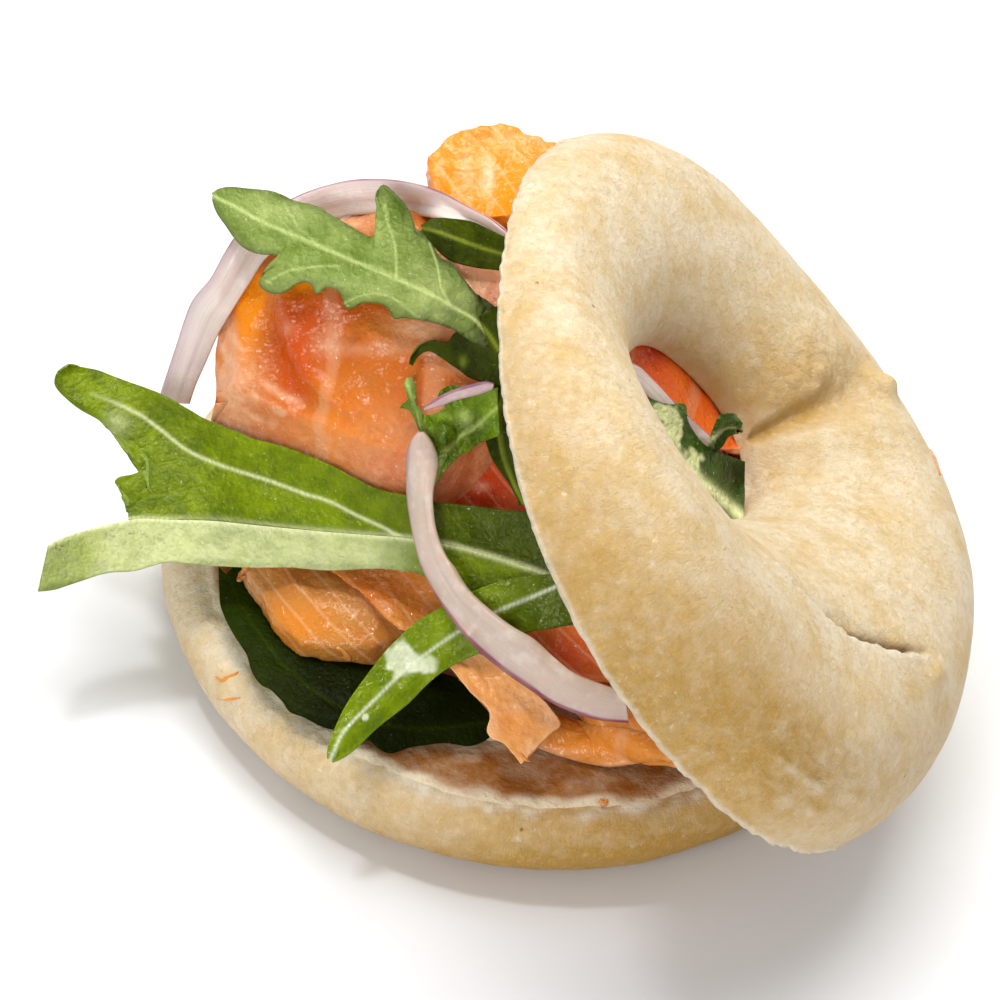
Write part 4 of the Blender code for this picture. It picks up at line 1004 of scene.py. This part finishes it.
UPPER_LOW = [
    (213, 201), (218, 214), (227, 227), (236, 240), (245, 249), (259, 255), (274, 256), (281, 259),
    (278, 266), (268, 271), (261, 280), (260, 286), (268, 293), (278, 295), (287, 292), (296, 286),
    (305, 283), (312, 286), (317, 295), (323, 290), (331, 289), (340, 293), (344, 302), (346, 309),
    (353, 309), (364, 304), (380, 305), (389, 310), (395, 320), (404, 319), (420, 321), (438, 325),
    (454, 331), (470, 342), (488, 352),
]
HOOK_RIB = [(412, 366), (416, 355), (428, 347), (445, 349), (468, 352), (502, 352)]
HOOK_HIGH = [
    (411, 365), (412, 356), (420, 346), (433, 341), (448, 343), (456, 334), (472, 324), (488, 312),
    (506, 304),
]
HOOK_LOW = [(413, 367), (419, 357), (429, 352), (438, 356), (454, 367), (470, 378), (484, 383), (503, 388)]
OBLONG_RIB = [(423, 229), (446, 236), (472, 246), (514, 258)]
OBLONG_HIGH = [(421, 227), (434, 220), (450, 220), (472, 223), (492, 232), (514, 243)]
OBLONG_LOW = [(422, 232), (430, 242), (442, 256), (455, 264), (478, 269), (512, 273)]
SIDE_RIB = [(506, 380), (500, 410), (500, 440), (508, 470), (524, 505)]
SIDE_LEFT = [(496, 384), (487, 410), (485, 436), (491, 457), (500, 472), (512, 488), (519, 505)]
SIDE_RIGHT = [(520, 380), (520, 410), (524, 440), (530, 470), (536, 505)]
CLUSTER_RIB = [(498, 408), (480, 424), (462, 436), (448, 447), (440, 462), (434, 484)]
CLUSTER_HIGH = [
    (498, 388), (482, 392), (466, 388), (452, 386), (441, 391), (440, 398), (450, 401), (444, 409),
    (436, 414), (425, 417), (423, 428), (425, 441), (431, 452), (438, 459), (439, 471), (433, 483),
]
CLUSTER_LOW = [
    (500, 436), (486, 441), (478, 444), (470, 451), (461, 455), (455, 461), (446, 470), (436, 484),
]
SPRIG_RIB = [(409, 378), (412, 392), (418, 408), (422, 424), (428, 440)]
SPRIG_LEFT = [
    (405, 379), (406, 390), (409, 400), (402, 404), (401, 409), (410, 412), (415, 420), (419, 430),
    (424, 440),
]
SPRIG_RIGHT = [(413, 378), (417, 390), (418, 404), (424, 414), (425, 426), (432, 440)]
UPPER_SIDE_VEINS = [                     # strength, breadth and route of each vein
    (1.0, 1.2, [(397, 278), (396, 250), (388, 222), (384, 200)]),
    (1.0, 1.1, [(340, 268), (315, 268), (290, 272), (268, 284)]),
    (1.0, 1.1, [(452, 306), (442, 290), (438, 268), (430, 245)]),
    (0.7, 1.1, [(420, 318), (390, 298), (366, 296), (346, 304)]),
    (0.6, 1.1, [(320, 247), (300, 228), (285, 205)]),
]
UPPER_PALE = [(290, 215, 40, 14, 0.35), (440, 300, 30, 22, 0.45), (340, 285, 50, 12, 0.3)]
# Pale patches on the pointing-down leaf: painted highlights of its gloss.
FRONT_LEAF_PAINTED_GLOSS = [(400, 655, 15, 24, 1.0), (424, 664, 15, 12, 0.9), (366, 716, 4, 4, 1.0)]
HOOK_VEIN = [(478, 322), (490, 336), (499, 350)]


def upper_marks(body, spots, u, v):
    """Its net of side veins shows; it darkens towards the crust and along its edges."""
    side = sum(strength * line_mark(spots, route, breadth) for strength, breadth, route in UPPER_SIDE_VEINS)
    vein = np.clip(0.9 * line_mark(spots, UPPER_RIB, 1.9) + 0.6 * side, 0, 1)
    x = spots[..., 0]
    shade = np.clip((x - 468) / 30, 0, 0.9) + 0.3 * np.clip((x - 370) / 80, 0, 1) + 0.55 * np.abs(v) ** 6
    return leaf_marks(u, vein, spot_mark(spots, UPPER_PALE), np.clip(shade, 0, 0.92))


def smeared(body, spots, blots):
    """Blots with ragged edges."""
    return 0.85 * np.clip((spot_mark(spots, blots) + 0.4 * clouds(body, 1.3, 6.0) - 0.42) * 4, 0, 1)


def front_leaf_marks(body, spots, u, v):
    shade = np.clip((spots[..., 0] - 480) / 110, 0, 0.7)
    # The pale mark here is painted gloss: painted highlights.
    return leaf_marks(u, 0.8 * line_mark(spots, FRONT_LEAF_RIB, 1.8), smeared(body, spots, FRONT_LEAF_PAINTED_GLOSS),
                      shade, spot_mark(spots, [(452, 649, 11, 5, 0.9)]))


def plain_marks(rib, shade, vein=0.7, pale=()):
    def marks(body, spots, u, v):
        return leaf_marks(u, vein * line_mark(spots, rib, 1.8), spot_mark(spots, pale), shade)
    return marks


deep_green = leaf_paint("leaf_deep", (30, 40, 0), (64, 76, 0), (144, 158, 50), 0.4, 0.6, 0.08)
fresh_green = leaf_paint("leaf_fresh", (56, 82, 0), (112, 144, 8), (190, 208, 120), 0.3, 0.8, 0.35)
pale_green = leaf_paint("leaf_pale_side", (100, 124, 44), (144, 162, 88), (196, 212, 138), 0.4, 0.8, 0.25)
glossy_green = leaf_paint("leaf_front_green", (88, 114, 0), (126, 148, 0), (230, 238, 214), 0.26, 0.6, 0.3)
SMALL_LEAVES = [
    ("leaf_dark_edge", "leaf_dark_side", leaf_plan(SIDE_RIB, SIDE_RIGHT, SIDE_LEFT, 80, 16), deep_green,
     plain_marks(SIDE_RIB, 0.35), 0.2, "leaf_dark"),
    ("leaf_hooked", "leaf_hook", leaf_plan(HOOK_RIB, HOOK_HIGH, HOOK_LOW, 110, 26), deep_green,
     plain_marks(HOOK_VEIN, 0.15, 0.8, [(464, 362, 4, 6, 0.8)]), 0.3, "leaf_dark"),
    ("leaf_small_sprig", "sprig", leaf_plan(SPRIG_RIB, SPRIG_LEFT, SPRIG_RIGHT, 70, 12), fresh_green,
     plain_marks(SPRIG_RIB, 0.0, 0.5, [(409, 384, 5, 9, 0.6)]), 0.5, "leaf_green"),
    ("leaf_toothed", "leaf_cluster", leaf_plan(CLUSTER_RIB, CLUSTER_HIGH, CLUSTER_LOW, 150, 34), fresh_green,
     plain_marks(CLUSTER_RIB, 0.05, 0.6, [(466, 418, 7, 7, 0.7), (482, 424, 3, 4, 0.6)]), 0.3, "leaf_green"),
    ("leaf_pale_upper", "leaf_upper", leaf_plan(UPPER_RIB, UPPER_HIGH, UPPER_LOW, 340, 44), pale_green,
     upper_marks, 0.2, "leaf_pale"),
    ("leaf_small_oblong", "leaf_oblong", leaf_plan(OBLONG_RIB, OBLONG_HIGH, OBLONG_LOW, 90, 24), deep_green,
     plain_marks(OBLONG_RIB, 0.0, 0.6), 0.2, "leaf_dark"),
    ("leaf_pointing_down", "leaf_front", leaf_plan(FRONT_LEAF_RIB, FRONT_LEAF_HIGH, FRONT_LEAF_LOW, 190, 34),
     glossy_green, front_leaf_marks, 0.2, "leaf_green"),
]
for name, node, plan, paint, marks, lift, finish in SMALL_LEAVES:
    leaf = lay_sheet(name, node, plan, 0.38, paint, quilted(0.14, 1.8, 0.25), lift, 10, marks)
    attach(leaf, "root")
    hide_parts(node)

# What shows inside the upper half's hole: a red fold of salmon, a band of onion, and a rocket leaf
# smeared with cheese, with its yellow-green stalk and curled tip.
HOLE_SALMON_TOP = [(628, 352), (642, 340), (658, 342), (686, 358), (712, 384), (730, 408), (744, 436)]
HOLE_SALMON_LOW = [(622, 376), (640, 390), (662, 408), (684, 424), (705, 440), (724, 450), (741, 446)]
HOLE_ONION_TOP = [(628, 362), (640, 368), (654, 382), (668, 397), (681, 410), (696, 424), (712, 438)]
HOLE_ONION_LOW = [(624, 378), (638, 386), (650, 398), (662, 410), (677, 425), (693, 441), (706, 450)]
HOLE_LEAF_TOP = [
    (624, 366), (634, 376), (642, 394), (656, 402), (672, 405), (684, 405), (688, 424), (700, 442),
    (716, 452), (744, 462),
]
HOLE_LEAF_LOW = [(626, 404), (640, 416), (656, 440), (672, 466), (692, 490), (716, 512), (742, 530)]
HOLE_STALK = [(640, 412), (650, 428), (668, 448), (690, 473), (712, 494), (740, 518)]
CURL_TOP = [(706, 446), (712, 428), (719, 415), (730, 414), (741, 424)]
CURL_LOW = [(716, 452), (722, 446), (727, 438), (734, 434), (742, 432)]
CURL_RIB = [(704, 446), (722, 428), (744, 428)]
HOLE_LEAF_SMEARS = [(670, 426, 15, 24, 1.0), (654, 410, 8, 8, 0.9), (692, 462, 12, 14, 0.8)]
HOLE_LEAF_SHADES = [(690, 424, 8, 12, 0.6), (728, 470, 12, 14, 0.8), (742, 520, 10, 18, 0.5)]


def hole_leaf_marks(body, spots, u, v):
    return leaf_marks(u, line_mark(spots, HOLE_STALK, 6.0), smeared(body, spots, HOLE_LEAF_SMEARS),
                      spot_mark(spots, HOLE_LEAF_SHADES))


hole_green = leaf_paint("leaf_in_hole", (34, 60, 4), (66, 98, 16), (232, 236, 176), 0.32)
hole_salmon = lay_sheet("slice_in_hole", "salmon_hole", strip_plan(HOLE_SALMON_TOP, HOLE_SALMON_LOW, 80, 40),
                        1.2, salmon_paint("flesh_hole", (238, 104, 18), (216, 66, 10)),
                        lambda body, spots, u, v: 0.5 * clouds(body, 5.0), lift=0.1, smooth=10,
                        marks=slice_marks(red=[(650, 354, 16, 14, 0.95)], seams=2.0))
hole_onion = lay_sheet("onion_in_hole", "onion_hole", strip_plan(HOLE_ONION_TOP, HOLE_ONION_LOW, 70, 16),
                       onion_thick(1.0), onion_paint("onion_hole_flesh"), onion_relief(0.3), lift=0.1,
                       smooth=8, marks=onion_marks(0.1))
hole_leaf = lay_sheet("leaf_in_hole", "leaf_hole", strip_plan(HOLE_LEAF_TOP, HOLE_LEAF_LOW, 120, 34), 0.38,
                      hole_green, quilted(0.2, 2.4, 0.4), lift=0.2, smooth=10, marks=hole_leaf_marks)
curl = lay_sheet("leaf_curled_tip", "leaf_curl", strip_plan(CURL_TOP, CURL_LOW, 60, 20), 0.38, hole_green,
                 quilted(0.2, 2.0, 0.4), lift=0.5, smooth=8, marks=plain_marks(CURL_RIB, 0.1, 0.5))
for piece, node, finish in ((hole_salmon, "salmon_hole", "salmon_red"), (hole_onion, "onion_hole", "onion"),
                            (hole_leaf, "leaf_hole", "leaf_green"), (curl, "leaf_curl", "leaf_green")):
    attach(piece, "root")
    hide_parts(node)

# The upper half of the bagel, leaning on the filling with its lower rim beside the lower half's edge. It
# is the same boiled dough: a rope whose two ends lap at the right, where a crease, a knob and a torn lip
# show.
TOP_NORMAL = (0.7548, -0.0688, 0.6523)
TOP_CENTRE = (19.8, -17.9, 36.0)
HOLE_CENTRE = (6.9, 5.7)                 # along the half's own slope and across it
HOLE_LONG, HOLE_SHORT = 20.3, 13.8
HOLE_TURN = math.radians(-38.0)
RIM = (54.6, -0.7, -0.1, -1.1)           # mean radius, then waves 2, 3 and 4 round the rim
CREST = (15.8, -4.8, -3.8, -1.8, -0.1)   # mean height, side to side, front to back, threefold
CREST_SHIFT = 1.175
LIP = [                                  # degrees round the hole, and share of the way from it to the rim
    (275, 0.37), (262, 0.385), (254, 0.43), (244.5, 0.45), (237.5, 0.48), (231, 0.492), (223, 0.515),
    (216.5, 0.54), (210, 0.57),
]
LIP_WIDEST = 232                         # this and the next five are degrees round the hole as well
LOW_TIP = 258
WRINKLED = 248
CREASE = 144.0
CREASE_KNOB = 136.0
LIP_KNOB = 211.0
CREASE_LEAN = 17.0                       # degrees that the crease turns between the hole and the rim


def unit(v):
    return (np.array(v) / np.linalg.norm(v)).tolist()


TOP_N = unit(TOP_NORMAL)
TOP_ACROSS = unit([-TOP_N[1] * TOP_N[0], 1 - TOP_N[1] * TOP_N[1], -TOP_N[1] * TOP_N[2]])
TOP_SLOPE = np.cross(TOP_N, TOP_ACROSS).tolist()


def on_top(a, b, h):
    """Point a along the upper half's slope, b across it and h out of its cut face."""
    return [c + a * s + b * t + h * n for c, s, t, n in zip(TOP_CENTRE, TOP_SLOPE, TOP_ACROSS, TOP_N)]


def rim_radius(angle):
    mean, two, three, four = RIM
    return mean + two * math.cos(2 * angle) + three * math.cos(3 * angle) + four * math.cos(4 * angle)


def hole_radius(angle):
    a = angle - HOLE_TURN
    oval = HOLE_LONG * HOLE_SHORT / math.hypot(HOLE_SHORT * math.cos(a), HOLE_LONG * math.sin(a))
    return oval - 0.9 * math.cos(3 * angle) + 0.3 * math.sin(3 * angle)


def rim_from_hole(angle):
    """How far the rim is from the middle of the hole, which lies off the middle of the rim."""
    dx, dy = math.cos(angle), math.sin(angle)
    lean = dx * HOLE_CENTRE[0] + dy * HOLE_CENTRE[1]
    off = HOLE_CENTRE[0] ** 2 + HOLE_CENTRE[1] ** 2
    r = RIM[0]
    for _ in range(4):
        far = -lean + math.sqrt(lean * lean - (off - r * r))
        r = rim_radius(math.atan2(HOLE_CENTRE[1] + far * dy, HOLE_CENTRE[0] + far * dx))
    return far


def lip_share(turn):
    """Where the torn lip runs, between the hole and the rim."""
    for (t0, s0), (t1, s1) in zip(LIP, LIP[1:]):
        if t1 <= turn <= t0:
            return s0 + (s1 - s0) * (t0 - turn) / (t0 - t1)
    return None


def crust_relief(turn, share, p):
    """Rise and fall of the crust over its plain form, and how torn, toasted and painted with shade it is
    there.
    """
    rise = 0.30 * lump(p, 15) + 0.12 * lump(p, 5.0, 3.0)
    line = CREASE - CREASE_LEAN * share
    crease = near(turn, line, 2.2 + 9.0 * share) * min(1.0, share * 9) * (1 - ramp(share, 0.42, 0.75))
    rise -= 2.9 * crease
    skirt = near(turn, line - 10, 9.0) * near(share, 0.40, 0.16)
    rise += skirt * (0.5 + 0.9 * lump(p, 3.4, 8.0) + 0.5 * lump(p, 1.5, 2.0))
    rise += 1.1 * near(turn, line + 10, 8.0) * near(share, 0.22, 0.2)
    rise += 2.6 * near(turn, CREASE_KNOB, 3.0) * near(share, 0.60, 0.04)
    rise += 1.1 * near(turn, LIP_KNOB, 4.0) * near(share, 0.61, 0.03)
    torn, gap = 0.0, 0.0
    at = lip_share(turn)
    if at is not None:
        open_end = ramp(turn, 272, 258) * ramp(turn, 208, 217)
        away = share - at + 0.008 * lump(p, 2.2, 4.0) + 0.004 * lump(p, 0.9)
        deep = (1.1 + 3.8 * near(turn, LIP_WIDEST, 15)) * open_end
        if away < 0:
            rise -= deep * (0.55 * math.exp(away / 0.012) + 0.45 * math.exp(away / 0.05))
        else:
            rise -= deep * math.exp(-away / 0.006) - 0.8 * open_end * math.exp(-away / 0.05)
            torn = near(away, 0.008, 0.012) * (0.75 + 0.6 * lump(p, 1.6)) * open_end
            rise += 0.5 * near(away, 0.007, 0.008) * (1 + lump(p, 1.4)) * open_end
        # Painted shadow along the open gap under the torn lip.
        gap = near(share - at, -0.008, 0.009) * open_end * (0.35 + 0.65 * near(turn, LIP_WIDEST - 1, 18))
    # Toast-and-shade: toasting, partly painted shade, in the hole and on the skirt; painted shade in and
    # beside the crease.
    toast = 0.62 * near(turn, 95, 42) * near(share, 0.10, 0.20) + 0.38 * skirt + 0.95 * crease * (1 - share)
    toast += 0.45 * near(turn, line - 12, 14.0) * near(share, 0.2, 0.2)
    # Painted shade towards the rim by the low tip and further round, and in the lip's gap.
    toast += 0.5 * near(turn, 318, 36) * ramp(share, 0.70, 0.92)
    toast += near(turn, LOW_TIP, 46) * ramp(share, 0.45, 0.85) * (1 - 0.5 * near(turn, 236, 12)) + 0.5 * gap
    band = near(turn, WRINKLED, 14) * near(share, 0.82, 0.09)
    wrinkle = lump((turn / 3.4, share * 34.0, 1.0), 1.0) + 0.5 * lump((turn / 1.6, share * 60.0, 4.0), 1.0)
    rise += 0.55 * band * wrinkle
    # Painted shade in the troughs of the wrinkles.
    toast += band * (0.25 - 0.9 * wrinkle)
    rise += 0.16 * lump((turn / 9.0, share * 22.0, 7.0), 1.0) * ramp(share, 0.5, 0.8)
    return rise, torn, toast, gap


def build_upper_half():
    turns, steps, inner = 470, 162, 48
    mean, side, front, three_a, three_b = CREST
    rays = []
    for j in range(turns):
        angle = 2 * math.pi * j / turns
        height = (mean + side * math.cos(angle) + front * math.sin(angle)
                  + three_a * math.cos(3 * angle) + three_b * math.sin(3 * angle))
        rays.append((angle, hole_radius(angle), rim_from_hole(angle), height))
    points, marks = [], {}
    for i in range(steps + 1):
        share = i / steps
        lift = max(0.0, math.sin(math.pi * share ** CREST_SHIFT)) ** 0.9
        for angle, start, end, height in rays:
            turn = math.degrees(angle)
            r = start + (end - start) * (1 - math.cos(math.pi * share)) / 2
            h = height * lift
            a, b = HOLE_CENTRE[0] + r * math.cos(angle), HOLE_CENTRE[1] + r * math.sin(angle)
            rise, torn, toast, gap = crust_relief(turn, share, (a, b, h))
            h = max(h + rise * min(1.0, 4 * lift), 0.0)
            rough = ramp(share, 0.955, 1.0) * (0.55 * lump((a, b, h), 1.6) + 0.4 * lump((a, b, 0), 4.5, 6.0))
            points.append(on_top(a - rough * math.cos(angle), b - rough * math.sin(angle), h))
            loose = near(turn, WRINKLED, 14) * near(share, 0.80, 0.10)
            note(marks, toast=min(max(toast, 0.0), 1.0), torn=max(torn, 0.7 * ramp(share, 0.985, 1.0)),
                 wrinkle=0.10 + 0.9 * loose + 0.5 * near(turn, 125, 16) * near(share, 0.4, 0.2),
                 soaked=0.0, gap=min(gap, 1.0), u=abs(angle / math.pi - 1), v=share)
    for i in range(1, inner):
        share = 1 - i / inner
        for angle, start, end, height in rays:
            r = start + (end - start) * share
            a, b = HOLE_CENTRE[0] + r * math.cos(angle), HOLE_CENTRE[1] + r * math.sin(angle)
            pore = max(0.0, lump((a, b, 0), 1.6, 7.0)) + 0.6 * max(0.0, lump((a, b, 0), 3.8, 9.0))
            points.append(on_top(a, b, min(1.0, 12 * min(share, 1 - share)) * (0.15 + 0.8 * pore)))
            note(marks, toast=0.0, torn=0.0, wrinkle=0.0, soaked=0.3, gap=0.0, u=0.5, v=share)
    rows = steps + inner
    which = [int(i >= steps) for i in range(rows) for _ in range(turns)]
    return make_piece("upper_half", points, ring_faces(rows, turns),
                      [crust_paint("crust_upper"), crumb_paint("crumb_upper")], marks, which)


upper_half = build_upper_half()
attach(upper_half, "root")
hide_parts("top_bun")

# Small bits: two shreds of salmon fallen on the crust, a speck on the cut face, frayed ends of the slices
# and an orange flake at the right. Each is a thin scrap of salmon that lies on what is under it.
SCRAPS = [
    ("shred_on_crust", "bottom_bun", [(217, 676), (224, 680), (231, 676), (240, 672)], 2.2),
    ("shred_on_crust_low", "bottom_bun", [(219, 697), (226, 699), (234, 698), (242, 697)], 1.4),
    ("speck_on_cut_face", "bottom_bun", [(599, 799), (603, 801), (607, 799)], 2.6),
    ("frayed_end_left", "salmon_lower_left", [(250, 566), (243, 572), (239, 580), (246, 576)], 1.8),
    ("frayed_end_low", "salmon_lower_left", [(338, 646), (344, 652), (350, 658), (343, 655)], 2.2),
    ("frayed_end_tab", "salmon_tab", [(520, 752), (524, 757), (529, 759)], 2.0),
    ("burnt_flake", "top_bun", [(929, 450), (933, 458), (936, 466), (938, 476)], 2.2),
]


def scrap_plan(line, breadth, rows=40, columns=8):
    """Narrow strip about a line of pixels, with pointed ends."""
    path = traced(line, rows)
    side = np.stack([-np.gradient(path[:, 1]), np.gradient(path[:, 0])], axis=1)
    side /= np.linalg.norm(side, axis=1, keepdims=True)
    half = breadth * (0.15 + np.sin(np.pi * np.linspace(0, 1, rows)) ** 0.7)[:, None]
    return strip_plan((path + side * half).tolist(), (path - side * half).tolist(), rows, columns)


def scrap_relief(body, spots, u, v):
    return 0.35 * np.sin(np.pi * np.clip(v, 0, 1)) + 0.2 * clouds(body, 1.2)


for name, node, line, breadth in SCRAPS:
    paint = salmon_paint("flesh_" + name, *SKIN["salmon"])
    scrap = lay_sheet(name, node, scrap_plan(line, breadth), 0.4, paint, scrap_relief, lift=0.05, smooth=3,
                      marks=slice_marks(gold=[(229, 686, 30, 30, 0.7)]))
    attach(scrap, "root")

# The table and light: a plain pale floor, a broad soft light overhead and behind, a weaker one from the
# front left, a small bright one for glints, and a long-lens camera at the photograph's angle.
FRAME_WIDTH = 1000.0                     # pixels
CAMERA_FAR = 6.0                         # metres
FLOOR_REACH = 4.0
LIT_POINT = Vector((0, 0, 0.04))
SENSOR = 36.0


def build_floor():
    mesh = bpy.data.meshes.new("floor")
    corners = [(-FLOOR_REACH, -FLOOR_REACH, 0), (FLOOR_REACH, -FLOOR_REACH, 0), (FLOOR_REACH, FLOOR_REACH, 0),
               (-FLOOR_REACH, FLOOR_REACH, 0)]
    mesh.from_pydata(corners, [], [(0, 1, 2, 3)])
    paint = Paint("floor", Roughness=0.6)
    paint.colour(paint.mix(paint.grain(300.0, 2.0), (0.83, 0.85, 0.91), (0.86, 0.88, 0.94)))
    mesh.materials.append(paint.material)
    floor = bpy.data.objects.new("floor", mesh)
    bpy.context.scene.collection.objects.link(floor)


def add_light(name, place, size, power, colour=(1.0, 1.0, 1.0)):
    lamp = bpy.data.lights.new(name, "AREA")
    lamp.size = size
    lamp.energy = power
    lamp.color = colour
    light = bpy.data.objects.new(name, lamp)
    light.location = place
    light.rotation_mode = "QUATERNION"
    light.rotation_quaternion = (LIT_POINT - Vector(place)).to_track_quat("-Z", "Y")
    bpy.context.scene.collection.objects.link(light)


def add_camera():
    """The camera looks square at the middle of the photograph's frame."""
    shift_right = (FRAME_WIDTH / 2 - AXIS_PIXEL[0]) / PIXELS_PER_MM * MM
    shift_up = (AXIS_PIXEL[1] - FRAME_WIDTH / 2) / PIXELS_PER_MM * MM
    middle = Vector((AXIS[0], AXIS[1], CUT_LEVEL)) * MM + VIEW_RIGHT * shift_right + VIEW_UP * shift_up
    lens = bpy.data.cameras.new("camera")
    lens.sensor_width = SENSOR
    lens.lens = SENSOR * CAMERA_FAR / (FRAME_WIDTH / PIXELS_PER_MM * MM)
    lens.clip_end = 100.0
    camera = bpy.data.objects.new("camera", lens)
    turn = Matrix((VIEW_RIGHT, VIEW_UP, VIEW_BACK)).transposed().to_4x4()
    turn.translation = middle + VIEW_BACK * CAMERA_FAR
    camera.matrix_world = turn
    bpy.context.scene.collection.objects.link(camera)
    bpy.context.scene.camera = camera


build_floor()
add_light("overhead", (0.05, 0.3, 0.9), 0.7, 8.8, (1.0, 0.98, 0.92))
add_light("front_left", (-0.35, -0.8, 0.5), 0.4, 3.9)
add_light("spark", (-0.3, 0.1, 0.85), 0.09, 1.6)
add_camera()
world = bpy.data.worlds.new("studio")
world.use_nodes = True
world.node_tree.nodes["Background"].inputs["Color"].default_value = (1.0, 0.96, 0.86, 1.0)
world.node_tree.nodes["Background"].inputs["Strength"].default_value = 0.38
bpy.context.scene.world = world
bpy.context.scene.view_settings.view_transform = "Standard"
